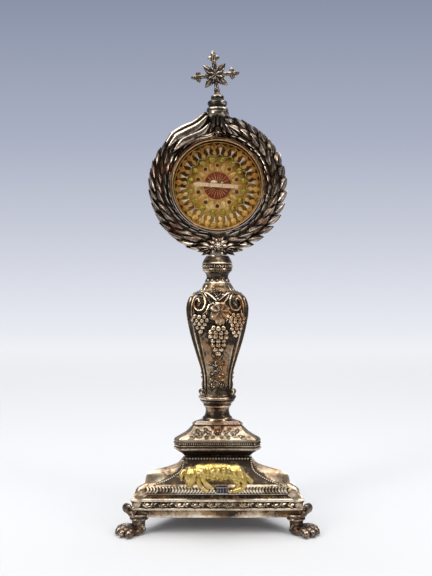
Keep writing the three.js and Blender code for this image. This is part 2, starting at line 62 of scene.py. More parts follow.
class Casting:
    """Closed shapes in millimetres about the stem's axis, gathered into one piece."""

    def __init__(self):
        self.points, self.faces, self.count = [], [], 0

    def add(self, points, faces, place=None):
        points = np.asarray(points, float)
        if place is not None:
            place = np.array(place)
            points = points @ place[:3, :3].T + place[:3, 3]
        self.points.append(points)
        self.faces.extend(tuple(i + self.count for i in face) for face in faces)
        self.count += len(points)

    def add_round(self, part, turns):
        points = np.concatenate(part.points)
        for turn in turns:
            self.add(points, part.faces, Matrix.Rotation(math.radians(turn), 4, "Z"))

    def loft(self, rings, place=None, endless=False):
        """Rings of as many points each, joined one to the next, then closed at both ends.

        An endless loft joins its last ring to its first instead.
        """
        rings = np.asarray(rings, float)
        levels, sides = rings.shape[:2]
        faces = []
        for level in range(levels if endless else levels - 1):
            low, high = level * sides, (level + 1) % levels * sides
            for i in range(sides):
                n = (i + 1) % sides
                faces.append((low + i, low + n, high + n, high + i))
        if not endless:
            faces.append(tuple(range(sides - 1, -1, -1)))
            faces.append(tuple(range((levels - 1) * sides, levels * sides)))
        self.add(rings.reshape(-1, 3), faces, place)

    def ball(self, at, size, place=None, fine=2):
        """A ball, or an egg where size gives a half length for each axis."""
        points, faces = round_ball(fine)
        shape = Matrix.LocRotScale(Vector(at), None, Vector(np.broadcast_to(size, 3)))
        self.add(points, faces, shape if place is None else place @ shape)

    def turned(self, profile, sides, place=None):
        """A profile of (radius, height) turned about the axis."""
        rings = [[(r * math.cos(t), r * math.sin(t), z) for t in once_round(sides)] for r, z in profile]
        self.loft(rings, place)

    def tube(self, path, radii, sides=8, place=None):
        """A round wire along a path, with its own radius at each point."""
        path = np.asarray(path, float)
        radii = np.broadcast_to(radii, len(path))
        heading = np.gradient(path, axis=0)
        heading /= np.linalg.norm(heading, axis=1)[:, None]
        side = np.cross(heading[0], (0.31, 0.17, 0.93))
        rings = []
        for point, ahead, radius in zip(path, heading, radii):
            side = side - ahead * (side @ ahead)
            side /= np.linalg.norm(side)
            other = np.cross(ahead, side)
            rings.append([point + radius * (side * math.cos(t) + other * math.sin(t))
                          for t in once_round(sides)])
        self.loft(rings, place)

    def leaf(self, length, width, rise, place, curl=0.0, veins=0, steps=9, cup=0.2):
        """A pointed leaf along +X with a raised midrib and a hollow on each side of it."""
        rings = []
        for u in np.linspace(0, 1, steps):
            half = max(width / 2 * math.sin(math.pi * u ** 0.8) ** 0.85, 0.02 * width)
            lift = curl * u * u
            thick = rise * max(math.sin(math.pi * min(u, 0.999)) ** 0.5, 0.05)
            ring = []
            for v in (-1, -0.9, -0.7, -0.4, -0.13, 0, 0.13, 0.4, 0.7, 0.9, 1):
                off = abs(v)
                fold = (1 - off) ** 1.2 + cup * off ** 3 - (0.25 + cup) * off ** 12
                if veins:
                    fold += 0.12 * math.cos(2 * math.pi * veins * (u - 0.25 * off)) * (1 - off)
                ring.append((u * length, v * half, lift + thick * fold))
            ring += [(u * length, v * half, lift - 0.5 * thick) for v in (0.55, -0.55)]
            rings.append(ring)
        self.loft(rings, place)

    def made(self, name, remesh=None, sharp=38, smooth=0):
        """The finished mesh in metres, cast in one if remesh gives a grain in millimetres."""
        mesh = bpy.data.meshes.new(name)
        mesh.from_pydata(np.concatenate(self.points) / 1000 + np.array(stem_axis), [], self.faces)
        mesh.validate()
        piece = bpy.data.objects.new(name, mesh)
        bpy.context.scene.collection.objects.link(piece)
        bpy.context.view_layer.objects.active = piece
        if remesh:
            fuse = piece.modifiers.new("fuse", "REMESH")
            fuse.mode, fuse.voxel_size = "VOXEL", remesh / 1000
            if smooth:
                even = piece.modifiers.new("even", "SMOOTH")
                even.factor, even.iterations = 0.5, smooth
            settled = bpy.data.meshes.new_from_object(
                piece.evaluated_get(bpy.context.evaluated_depsgraph_get()))
            piece.modifiers.clear()
            piece.data = settled
        else:
            bm = bmesh.new()
            bm.from_mesh(piece.data)
            bmesh.ops.recalc_face_normals(bm, faces=bm.faces)
            bm.to_mesh(piece.data)
            bm.free()
        piece.data.name = name
        piece.data.shade_smooth()
        if not remesh:
            piece.data.set_sharp_from_angle(angle=math.radians(sharp))
        return piece


def once_round(count):
    return np.linspace(0, 2 * math.pi, count, endpoint=False)


balls = {}


def round_ball(fine):
    """A ball of radius 1, made once for each fineness."""
    if fine not in balls:
        bm = bmesh.new()
        bmesh.ops.create_icosphere(bm, subdivisions=fine, radius=1)
        balls[fine] = ([v.co[:] for v in bm.verts], [[v.index for v in f.verts] for f in bm.faces])
        bm.free()
    return balls[fine]


def facing(at, heading, normal):
    """Sets a shape's +X along heading and its +Z along the surface's normal."""
    normal = Vector(normal).normalized()
    heading = (Vector(heading) - normal * Vector(heading).dot(normal)).normalized()
    place = Matrix((heading, normal.cross(heading), normal)).transposed().to_4x4()
    place.translation = Vector(at)
    return place


def seasoned(piece, reach, tarnish_and_shade=None, copper=None):
    """Records how enclosed each point is within reach millimetres, how far it stands out, and
    where a piece has heavier tarnish and painted shade, and where it shows brown copper."""
    mesh = piece.data
    count = len(mesh.vertices)
    spots, normals = np.zeros(count * 3), np.zeros(count * 3)
    mesh.vertices.foreach_get("co", spots)
    mesh.vertices.foreach_get("normal", normals)
    spots, normals = spots.reshape(-1, 3), normals.reshape(-1, 3)
    edges = np.zeros(len(mesh.edges) * 2, int)
    mesh.edges.foreach_get("vertices", edges)
    a, b = edges.reshape(-1, 2).T
    share = np.bincount(np.r_[a, b], minlength=count).clip(1)

    def evened(values):
        return 0.4 * values + 0.6 * np.bincount(np.r_[a, b], np.r_[values[b], values[a]], count) / share

    step = spots[b] - spots[a]
    length = np.linalg.norm(step, axis=1).clip(1e-9)
    bend = np.r_[-(step * normals[a]).sum(1) / length, (step * normals[b]).sum(1) / length]
    ridge = evened(np.bincount(np.r_[a, b], bend, count) / share)

    flat = np.cross(normals, (0.31, 0.17, 0.93))
    flat /= np.linalg.norm(flat, axis=1)[:, None].clip(1e-9)
    other = np.cross(normals, flat)
    bm = bmesh.new()
    bm.from_mesh(mesh)
    tree = BVHTree.FromBMesh(bm)
    bm.free()
    hidden = np.zeros(count)
    rays = [(35, 20), (35, 110), (35, 200), (35, 290), (65, 65), (65, 245)]
    reach_m = reach / 1000
    starts = (spots + normals * reach_m * 0.02).tolist()
    for tilt, turn in np.radians(rays):
        across = flat * math.cos(turn) + other * math.sin(turn)
        ways = (normals * math.sin(tilt) + math.cos(tilt) * across).tolist()
        for i, (start, way) in enumerate(zip(starts, ways)):
            gap = tree.ray_cast(start, way, reach_m)[3]
            if gap is not None:
                hidden[i] += 1 - gap / reach_m
    layers = {"hollow": evened(hidden / len(rays)), "ridge": ridge}
    for name, spread in (("tarnish_and_shade", tarnish_and_shade), ("copper", copper)):
        if spread is not None:
            layers[name] = spread((spots - np.array(stem_axis)) * 1000)
    for name, values in layers.items():
        mesh.attributes.new(name, "FLOAT", "POINT").data.foreach_set("value", values.astype(np.float32))
    return piece


class Tone:
    """A value in a finish. Sums, differences and products add their own nodes."""

    def __init__(self, tree, socket=None):
        self.tree, self.socket = tree, socket

    def node(self, kind, settings=None, sockets=None, output=0):
        made = self.tree.nodes.new(kind)
        for name, value in (settings or {}).items():
            setattr(made, name, value)
        for name, value in (sockets or {}).items():
            if isinstance(value, Tone):
                self.tree.links.new(value.socket, made.inputs[name])
            else:
                made.inputs[name].default_value = value
        return Tone(self.tree, made.outputs[output])

    def maths(self, operation, first, second):
        return self.node("ShaderNodeMath", {"operation": operation}, {0: first, 1: second})

    def __add__(self, other):
        return self.maths("ADD", self, other)

    def __sub__(self, other):
        return self.maths("SUBTRACT", self, other)

    def __rsub__(self, other):
        return self.maths("SUBTRACT", other, self)

    def __mul__(self, other):
        return self.maths("MULTIPLY", self, other)

    __radd__, __rmul__ = __add__, __mul__

    def between(self, low, high, step="SMOOTHSTEP"):
        """0 below low, 1 above high, and a smooth or LINEAR step from one to the other."""
        return self.node("ShaderNodeMapRange", {"interpolation_type": step},
                         {"Value": self, "From Min": low, "From Max": high})

    def blend(self, first, second):
        """One colour where the value is 0 and another where it is 1."""
        colours = [c if isinstance(c, Tone) else (*c, 1) for c in (first, second)]
        return self.node("ShaderNodeMix", {"data_type": "RGBA"},
                         {0: self, 6: colours[0], 7: colours[1]}, 2)

    def noise(self, scale, detail=3, rough=0.6, stretch=(1, 1, 1)):
        place = self.node("ShaderNodeTexCoord", output="Object")
        place = self.node("ShaderNodeVectorMath", {"operation": "MULTIPLY"}, {0: place, 1: stretch})
        return self.node("ShaderNodeTexNoise", None,
                         {"Vector": place, "Scale": scale, "Detail": detail, "Roughness": rough})

    def layer(self, name):
        """What seasoned() recorded on the piece."""
        return self.node("ShaderNodeAttribute", {"attribute_name": name}, output="Fac")

    def place(self, axis):
        """How far along x, y or z (0, 1 or 2) a spot lies, in metres."""
        place = self.node("ShaderNodeTexCoord", output="Object")
        return self.node("ShaderNodeSeparateXYZ", None, {0: place}, axis)

    def rough(self, strength=0.4, distance=0.0001):
        """A surface raised by the value."""
        return self.node("ShaderNodeBump", None, {"Strength": strength, "Distance": distance, "Height": self})


def new_finish(name, settings=None):
    """A finish with what is the same all over it, and the tone to build the rest from."""
    finish = bpy.data.materials.new(name)
    finish.use_nodes = True
    for setting, value in (settings or {}).items():
        finish.node_tree.nodes["Principled BSDF"].inputs[setting].default_value = value
    return finish, Tone(finish.node_tree)


def joined(finish, links):
    """Gives the finish what changes over its surface."""
    shader = finish.node_tree.nodes["Principled BSDF"]
    for name, tone in links.items():
        finish.node_tree.links.new(tone.socket, shader.inputs[name])
    return finish


def old_silver(name, rubbed, body, patina, darkness=0.0, gloss=0.3, contrast=1.0,
               stain=(0.20, 0.075, 0.030), worn_through=0.5):
    """Silver gone brown in its recesses, rubbed bright along its edges and high points."""
    finish, tone = new_finish(name)
    clouds, specks = tone.noise(75), tone.noise(560, 4, 0.7)
    stains, chips = tone.noise(46, 5, 0.7), tone.noise(64, 4, 0.6, (1, 1, 2.4))
    hollow, ridge = tone.layer("hollow"), tone.layer("ridge")
    dark = hollow * (2.7 * contrast) - ridge * (2.8 * contrast) + tone.layer("tarnish_and_shade")
    dark = dark + (clouds - 0.5) * 1.7 + (specks - 0.5) * 1.5 + (0.25 + darkness)
    tint = dark.between(-0.55, 0.25).blend(rubbed, body)
    tint = dark.between(0.1, 0.8).blend(tint, patina)
    brown = stains + tone.layer("copper") * 0.3
    tint = (brown.between(0.55, 0.64) * (0.75 - dark.between(0.2, 1.1) * 0.55)).blend(tint, stain)
    tint = (chips.between(0.60, 0.63) * worn_through).blend(tint, (0.34, 0.30, 0.235))
    roughness = dark.between(-0.3, 1.1) * 0.25 + gloss + (specks - 0.5) * 0.15
    metal = 1 - dark.between(0.3, 1.3) * 0.35
    grain = tone.noise(1500, 3, 0.6)
    bump = (grain * 0.4 + specks * 1.1 + clouds * 2).rough()
    return joined(finish, {"Base Color": tint, "Roughness": roughness, "Metallic": metal, "Normal": bump})


def dressed(piece, finish, slot, *nodes):
    """Gives a piece its finish and its body, and hides the CAD nodes it stands for. The slot is not used."""
    piece.data.materials.clear()
    piece.data.materials.append(finish)
    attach(piece, "root")
    if nodes:
        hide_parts(*nodes)
    return piece


face_turns = (0, 120, 240)
face_ways, corner_ways = (-90, 30, 150), (-150, -30, 90)
face_steps, strap_steps = 90, 19
strap_roundness = 1.3


def three_sided(rise, face, half, corner, ridge=0.0):
    """Once round: a straight face out to half its width, then a rounded strap over the corner."""
    ring = []
    root = face / 2 + half * math.cos(math.pi / 6)
    spread = face * math.sin(math.pi / 3) - half / 2
    for turn in face_ways:
        out = math.radians(turn)
        for along in np.linspace(-half, half, face_steps):
            ring.append((face * math.cos(out) - along * math.sin(out),
                         face * math.sin(out) + along * math.cos(out), rise))
        out += math.pi / 3
        for share in np.linspace(-1, 1, strap_steps)[1:-1]:
            side = spread * share
            reach = root + (corner - root) * (1 - abs(share) ** strap_roundness)
            reach += ridge * math.exp(-(side / 0.7) ** 2)
            ring.append((reach * math.cos(out) - side * math.sin(out),
                         reach * math.sin(out) + side * math.cos(out), rise))
    return np.array(ring)


def eased(table, steps):
    """Fills a table of rows in with smooth steps between the rows given."""
    table = np.asarray(table, float)
    where = np.arange(len(table))
    rows = []
    for i in range(len(table) - 1):
        before, start, end, after = (table[np.clip(i + k, 0, len(table) - 1)] for k in (-1, 0, 1, 2))
        for t in np.arange(steps) / steps:
            rows.append(0.5 * (2 * start + (end - before) * t
                               + (2 * before - 5 * start + 4 * end - after) * t * t
                               + (3 * start - before - 3 * end + after) * t ** 3))
    return np.array(rows + [table[-1]])


foot_low, foot_high = span("lower_base")
skirt_foot = foot_low.z
# Rows of the skirt: height, then how far out the face lies, half the face's width, and how far
# out the corner lies.
shoulder = eased([
    (32.1, 32.6, 46.4, 58.4), (33.4, 30.8, 42.0, 57.8), (35.0, 29.4, 36.8, 57.5),
    (37.0, 26.6, 31.6, 57.0), (39.4, 23.2, 27.0, 55.8), (41.5, 20.5, 25.0, 50.5),
    (43.0, 18.6, 24.6, 39.4), (44.8, 16.6, 24.3, 31.5), (47.4, 14.4, 24.2, 28.6),
    (foot_high.z, 13.2, 22.4, 26.8)], 4)
mouldings = [
    (skirt_foot, 33.2, 56.6, 66.2), (skirt_foot + 0.3, 33.5, 57.0, 66.6), (13.4, 33.4, 57.0, 66.4),
    (16.0, 33.4, 57.0, 66.4), (16.2, 33.9, 57.2, 66.9), (16.6, 34.2, 57.3, 67.2),
    (17.3, 34.2, 57.2, 67.2), (17.7, 33.9, 56.9, 66.9), (17.9, 33.2, 56.0, 66.2),
    (19.6, 33.1, 55.6, 66.0), (21.8, 33.3, 55.2, 66.0), (22.0, 34.0, 55.0, 66.5),
    (22.5, 34.4, 55.0, 66.8), (23.4, 34.5, 54.8, 66.9), (24.0, 34.2, 54.3, 66.6),
    (24.3, 33.6, 53.8, 65.6), (25.6, 33.0, 53.0, 64.8), (26.8, 32.6, 52.0, 63.4),
    (27.0, 33.2, 51.4, 63.0), (27.3, 33.2, 51.0, 62.6), (27.5, 32.4, 50.9, 62.2),
    (30.2, 32.2, 50.0, 60.4), (31.2, 32.1, 49.2, 59.6), (31.4, 32.9, 48.8, 59.4),
    (31.7, 33.0, 48.4, 59.0)]
wall = 1.6
inside = [(41, 15, 17, 36), (38, 22.2, 25.6, 53), (34.4, 27.6, 34.6, 55), (28.2, 30.6, 46.6, 59.4),
          (skirt_foot, 33.4 - wall, 52.4, 66.4 - 2 * wall)]
ridge_low, ridge_high = 18.0, 33.0


def skirt_ring(row):
    """A ring of the skirt with a ridge down its corners, a little dented, its lower edge bowed."""
    height = row[0]
    share = np.clip((height - ridge_low) / (ridge_high - ridge_low), 0, 1)
    ring = three_sided(*row, ridge=0.9 * max(0.0, math.sin(math.pi * share)) ** 0.5)
    for point in ring:
        point[:2] *= 1 + 0.004 * dent(Vector(point) * 0.07)
    if height < skirt_foot + 1:
        sag = 0.45 * (1 - np.clip(np.linalg.norm(ring[:, :2], axis=1) / 60, 0, 1) ** 2)
        ring[:, 2] += 0.3 - sag
    return ring


skirt = Casting()
skirt.loft([skirt_ring(row) for row in [*inside, *mouldings, *shoulder]])

front = Casting()
outward = (0, -1, 0)
face_depth = -33.35
gadroon_pitch, gadroon_half, gadroon_height = 2.15, 49.0, 29.9
for i in range(int(2 * gadroon_half / gadroon_pitch)):
    across = (i + 0.5) * gadroon_pitch - gadroon_half
    hand = 1 if across < 0 else -1
    crescent = [(across + hand * (0.55 - 1.3 * t * t + 0.35 * t), face_depth + 0.5 * t * t,
                 gadroon_height + 2.0 * t) for t in np.linspace(-1, 1, 7)]
    front.tube(crescent, np.interp(np.linspace(-1, 1, 7), [-1, 0, 1], [0.5, 0.92, 0.55]))
bead_pitch, bead_size = 1.55, 0.62
line = np.array([(half, -face, height) for height, face, half, corner in shoulder if height > 33])
length = np.r_[0, np.cumsum(np.linalg.norm(np.diff(line, axis=0), axis=1))]
for walked in np.arange(0.6, length[-1] - 1, bead_pitch):
    x, y, z = (np.interp(walked, length, line[:, k]) for k in range(3))
    for side in (-1, 1):
        front.ball((side * (x - 0.5), y, z), bead_size)
for across in np.arange(-21.5, 21.6, 2.05):
    front.ball((across, -14.7, 47.0), (0.8, 0.8, 0.75))
front.tube([(across, -14.3, 45.6) for across in np.linspace(-23, 23, 12)], 0.35)

frieze_middle, wave_length = 19.9, 11.0
stalk = [(x, face_depth, frieze_middle + 1.1 * math.sin(2 * math.pi * x / wave_length))
         for x in np.linspace(-51, 51, 150)]
front.tube(stalk, 0.42, 6)
for i in range(-9, 10):
    x = i * wave_length / 2
    up = 1 if i % 2 else -1
    for turn, size in ((0, 1.0), (55, 0.75), (-50, 0.8), (120, 0.6)):
        angle = math.radians(turn) + 0.25 * up
        heading = (math.cos(angle), 0, up * math.sin(angle))
        place = facing((x - 0.6, face_depth + 0.05, frieze_middle - 0.3 * up), heading, outward)
        front.leaf(4.4 * size, 2.7 * size, 1.2, place, steps=7)
    front.ball((x - 0.8, face_depth - 0.15, frieze_middle - 0.3 * up), (0.75, 0.6, 0.75), fine=1)
skirt.add_round(front, face_turns)

# Pointed tongues fold down over the corners, thick at the shoulder and narrow at the foot.
skirt_shape = np.array([*mouldings, *shoulder])
tongue_low, tongue_high = 11.6, 33.4


def tongue_half(height):
    """Half the tongue's width."""
    return np.interp(height, [tongue_low, 14, 17, 22, 26, 29, 31, tongue_high],
                     [0.6, 0.9, 1.6, 3.0, 4.3, 4.4, 3.4, 1.8])


tongue = []
for height in np.linspace(tongue_low, tongue_high, 30):
    lift = np.interp(height, [tongue_low, 20, 25.3, 27.6, 29.5, 31.4, 32.6, tongue_high],
                     [1.1, 1.1, 1.4, 2.6, 3.4, 3.0, 1.2, 0])
    face, half, corner = (np.interp(height, skirt_shape[:, 0], skirt_shape[:, k]) for k in (1, 2, 3))
    root = face / 2 + half * math.cos(math.pi / 6)
    spread = face * math.sin(math.pi / 3) - half / 2
    line = []
    for share in np.linspace(-1, 1, 15):
        side = share * tongue_half(height)
        if abs(side) > spread:
            reach = 2 * face - math.sqrt(3) * abs(side)
        else:
            reach = root + (corner - root) * (1 - (abs(side) / spread) ** strap_roundness)
        line.append((reach + 0.2 + lift * (1 - share ** 4), side, height))
    tongue.append(line + [(reach - 2.4, side * 0.9, height) for reach, side, height in line[::-1]])
for turn in (-30, 90, 210):
    skirt.loft(tongue, Matrix.Rotation(math.radians(turn), 4, "Z"))


def panel_tarnish(spots):
    """Dark panels and grounds, with the relief, the gadroons and the corner tongues rubbed clean."""
    shade = np.zeros(len(spots))
    height = spots[:, 2]
    half = np.interp(height, shoulder[:, 0], shoulder[:, 2])
    face = np.interp(height, shoulder[:, 0], shoulder[:, 1])
    for turn in face_turns:
        c, s = math.cos(math.radians(-turn)), math.sin(math.radians(-turn))
        across = spots[:, 0] * c - spots[:, 1] * s
        depth = -(spots[:, 0] * s + spots[:, 1] * c)
        side = math.cos(math.pi / 6) * depth - 0.5 * np.abs(across)
        before = depth > 10
        panel = before & (np.abs(across) < half - 1.2) & (depth > face - 1.0) & (height > 33.2)
        shade[panel] = np.where(depth[panel] > face[panel] + 0.3, -0.25, 0.8)
        gadroon = before & (height > 27.4) & (height < 31.5) & (np.abs(across) < gadroon_half + 1)
        shade[gadroon] = np.where(depth[gadroon] > 32.9, -0.6, 0.7)
        frieze = before & (height > 17.8) & (height < 21.9) & (np.abs(across) < 52)
        shade[frieze] = np.where(depth[frieze] > 33.55, -0.6, 0.05)
        fascia = before & (height < 16.2)
        patches = np.sin(across * 0.16 + 0.6) * np.sin(across * 0.05 + 1.1)
        shade[fascia] = 0.2 + 0.5 * patches[fascia]
        cove = before & (height > 24.2) & (height < 26.9)
        shade[cove] = 0.35
        near_corner = before & (np.abs(side) < tongue_half(height) + 0.3) & (np.abs(across) > 40)
        shade[near_corner & (height < 35)] = 0.1
    shade[(height > 32) & (shade == 0)] = 0.26
    return shade


def fascia_copper(spots):
    """Brown shows through along the fascia and in the cove above the frieze."""
    height = spots[:, 2]
    patches = 0.3 + 0.3 * np.sin(spots[:, 0] * 0.11 + 2.2) * np.sin(spots[:, 0] * 0.031 + 1)
    in_cove = (height > 24.4) & (height < 27)
    return np.where((height > 12) & (height < 16.2), patches, 0.2 * in_cove)


base_silver = old_silver("base_silver", (0.92, 0.80, 0.64), (0.50, 0.385, 0.27), (0.040, 0.026, 0.016),
                         -0.2, stain=(0.32, 0.17, 0.07))
skirt_piece = seasoned(skirt.made("foot_skirt"), 3.0, panel_tarnish, fascia_copper)
dressed(skirt_piece, base_silver, "base_silver", "lower_base")

# Lion's paws. Solid castings under the three corners: four toes, a short leg with a collar
# where it meets the skirt, and a scroll that curls up outside. Almost black, rubbed on the toes.

leg_middle = 61.5


def lion_paw():
    """A paw that points along +X."""
    paw = Casting()
    for spread, reach in ((-31, 13.0), (-10.5, 14.2), (10.5, 14.2), (31, 13.0)):
        turn = Matrix.Translation((leg_middle - 0.6, 0, 0)) @ Matrix.Rotation(math.radians(spread), 4, "Z")
        arch = [(2.5, 0, 3.0), (6.0, 0, 3.5), (9.0, 0, 3.6), (11.6, 0, 3.2), (reach, 0, 2.4)]
        thick = np.interp(np.linspace(0, 1, 13), [0, 0.5, 0.8, 1], [2.3, 2.4, 2.7, 2.2])
        paw.tube(eased(arch, 3), thick, 14, turn)
        paw.ball((reach + 0.6, 0, 2.5), (2.9, 2.6, 2.5), turn, fine=3)
        paw.ball((9.2, 0, 4.1), (2.5, 2.2, 2.1), turn, fine=3)
        paw.ball((reach + 3.0, 0, 1.3), (0.8, 0.8, 1.1), turn)
    paw.ball((leg_middle + 4.4, 0, 2.5), (8.2, 6.6, 2.9), fine=3)
    paw.turned([(5.4, 0), (6.4, 0.1), (6.6, 1.4), (5.6, 2.4)], 28,
               Matrix.Translation((leg_middle + 3.8, 0, 0)))
    for side in (-1, 1):
        paw.tube([(leg_middle + 1, side * 4.2, 6.8), (leg_middle - 0.6, side * 4.9, 4.2),
                  (leg_middle - 2.4, side * 3.6, 1.6)], [0.9, 1.5, 0.7], 10)
    leg = [(2.6, 5.6, 5.6, 2.6), (1.6, 5.2, 5.0, 4.2), (1.0, 4.6, 4.5, 6.2), (0.8, 4.7, 4.6, 7.8),
           (0.7, 5.3, 5.1, 9.0), (0.6, 6.0, 5.8, 10.0), (0.6, 6.2, 6.0, 12.4), (0.8, 5.8, 5.6, 13.0)]
    paw.loft([[(leg_middle + middle + deep * math.cos(t), wide * math.sin(t), height) for t in once_round(28)]
              for middle, deep, wide, height in leg])
    for height, swell in ((9.9, 0.7), (12.6, 0.8)):
        paw.tube([(leg_middle + 0.6 + 5.9 * math.cos(t), 5.8 * math.sin(t), height)
                  for t in np.linspace(0, 2 * math.pi, 33)], swell)
    scroll_middle, scroll_height = 70.2, 18.2
    curl = []
    for t in np.linspace(-1.9, 4.6, 34):
        reach = 2.7 - 0.38 * (t + 1.9)
        curl.append((scroll_middle + reach * math.cos(t), 0, scroll_height + reach * 1.15 * math.sin(t)))
    path = np.array([(67.4, 0, 11.8), (68.0, 0, 13.4), (68.6, 0, 14.8), *curl])
    radii = np.interp(np.linspace(0, 1, len(path)), [0, 0.2, 0.7, 1], [1.5, 1.2, 1.0, 0.8])
    for wide in (-2.4, -0.8, 0.8, 2.4):
        paw.tube(path + (0, wide, 0), radii, 10)
    paw.ball((scroll_middle, 0, scroll_height), (2.5, 2.9, 2.8), fine=3)
    return paw


paw_silver = old_silver("paw_silver", (0.80, 0.64, 0.50), (0.19, 0.14, 0.10), (0.018, 0.012, 0.009),
                        0.1, 0.2, 1.2, (0.10, 0.05, 0.03), 0.15)
for node, turn in (("paw_foot_left", -150), ("paw_foot_right", -30), ("paw_foot_back", 90)):
    paw = Casting()
    paw.add_round(lion_paw(), (turn,))
    paw_piece = paw.made(node.replace("_foot", "_cast"), remesh=0.32, smooth=2)
    lowest = min(vertex.co.z for vertex in paw_piece.data.vertices)
    for vertex in paw_piece.data.vertices:
        vertex.co.z -= lowest
    dressed(seasoned(paw_piece, 2.4), paw_silver, "paw_silver", node)

# Lamb and book. A gilded casting pinned to the front face: the lamb lies over a small closed book
# with its head hanging down, and its fleece is cast in heavy locks. The book is blackened metal
# with four seals along its edge.

lamb_low, lamb_high = span("lamb")
lamb_across, lamb_up = -1.6, lamb_low.z + 10.3
lamb_back = lamb_high.y
lamb = Casting()
lamb_place = Matrix.Translation((lamb_across, lamb_back, lamb_up))


def flesh(x, z, wide, deep, tall, out=-1.2):
    lamb.ball((x, out, z), (wide, deep, tall), lamb_place, fine=4)


def limb(points, radii):
    path = eased(points, 4)
    thick = np.interp(np.linspace(0, 1, len(path)), np.linspace(0, 1, len(radii)), radii)
    lamb.tube(path, thick, 12, lamb_place)


# Barrel, rump, shoulder and haunch, and then the head, muzzle, eyes, ears, legs and tail.
masses = ((1, 3.7, 16.5, 6.3, 4.9), (13.4, 2.6, 6.8, 6.6, 5.1), (-9.6, 3.6, 6.8, 6.0, 5.1),
          (16.0, 1.0, 5.0, 6.2, 4.8))
for x, z, wide, tall, deep in masses:
    flesh(x, z, wide, deep, tall)
flesh(-16.8, 3.2, 4.9, 4.8, 4.6)
limb([(-16.0, -2.2, 6.2), (-16.3, -3.4, 3.0), (-16.7, -4.2, -0.6), (-17.2, -4.0, -4.2)], [3.0, 4.8, 4.3, 2.7])
flesh(-17.3, -5.2, 2.3, 2.2, 1.4, -3.6)
for across in (-19.4, -13.9):
    flesh(across, 1.0, 0.8, 0.7, 0.65, -7.2)
limb([(-20.0, -3.0, 5.4), (-22.2, -3.8, 3.4), (-22.8, -3.4, -1.6)], [1.4, 1.9, 0.7])
limb([(-13.4, -3.0, 5.6), (-12.0, -4.4, 3.6), (-12.2, -4.6, 0.6)], [1.2, 1.5, 0.6])
limb([(-8.1, -4.6, 3.4), (-7.8, -5.0, -0.6), (-4.6, -4.8, -4.2), (-1.2, -4.6, -6.8)], [2.3, 1.9, 1.5, 1.4])
limb([(-11.4, -3.4, 0.4), (-10.8, -4.0, -3.2), (-7.8, -3.9, -6.6), (-5.4, -3.7, -8.8)], [2.4, 2.0, 1.7, 1.5])
limb([(17.6, -4.0, 0.4), (19.8, -4.6, -2.6), (18.0, -4.6, -6.4), (12.2, -4.3, -8.6)], [2.6, 2.1, 1.7, 1.4])
limb([(16.4, -3.2, -3.4), (14.2, -3.6, -7.0), (10.4, -3.3, -8.8)], [2.4, 1.5, 1.2])
limb([(19.5, -2.6, 1.6), (22.4, -3.2, -0.4), (25.2, -3.2, -2.4)], [2.1, 2.0, 1.6])


def wool_depth(x, z):
    """How far the body stands out under a spot of the fleece."""
    return max(deep * math.sqrt(max(1 - ((x - middle) / wide) ** 2 - ((z - up) / tall) ** 2, 0))
               for middle, up, wide, tall, deep in masses)


# Each lock wanders down over the body, and stops at its edge and short of the face.
lock_pitch, row_pitch = 2.7, 3.0
for row in range(5):
    for i in range(14):
        stray = (math.sin(12.9 * i + 78.2 * row) * 437.5) % 1
        start = x = -15.0 + i * lock_pitch + (row % 2) * lock_pitch / 2 + 1.8 * (stray - 0.5)
        z = 10.2 - row * row_pitch + 2.4 * ((stray * 7.3) % 1 - 0.5)
        fall = -62 + 170 * ((stray * 3.7) % 1 - 0.5)
        stride = 0.42 + 0.24 * stray
        lock = []
        for t in np.linspace(0, 1, 10):
            flow = math.radians(fall + 150 * (t - 0.4) * math.sin(1.9 * start + 1.3 * row))
            if lock:
                x, z = x + stride * math.cos(flow), z + stride * math.sin(flow)
            if wool_depth(x, z) < 1.0 or (x < -10.5 and z < 1.5):
                break
            lock.append((x, -1.05 - wool_depth(x, z), z))
        if len(lock) > 3:
            thick = np.interp(np.linspace(0, 1, len(lock)), [0, 0.4, 1], [0.4, 0.92, 0.3])
            lamb.tube(lock, thick, place=lamb_place)

gilding, tone = new_finish("lamb_gilding")
hollow, ridge = tone.layer("hollow"), tone.layer("ridge")
rub = tone.noise(420, 4, 0.65)
dull = hollow * 2.9 - ridge * 2.0 + (rub - 0.5) * 1.5 + 0.12
gold = dull.between(-0.6, 0.3).blend((0.92, 0.73, 0.36), (0.50, 0.35, 0.095))
gold = dull.between(0.15, 0.95).blend(gold, (0.06, 0.038, 0.010))
joined(gilding, {"Base Color": gold, "Roughness": dull.between(-0.3, 1.0) * 0.3 + 0.26,
                 "Metallic": 1 - dull.between(0.4, 1.4) * 0.4, "Normal": rub.rough()})
lamb_piece = lamb.made("lamb_cast", remesh=0.3, smooth=1)
for vertex in lamb_piece.data.vertices:
    vertex.co.y = min(vertex.co.y, lamb_back / 1000 + stem_axis.y)
dressed(seasoned(lamb_piece, 1.6), gilding, "lamb_gilding", "lamb")

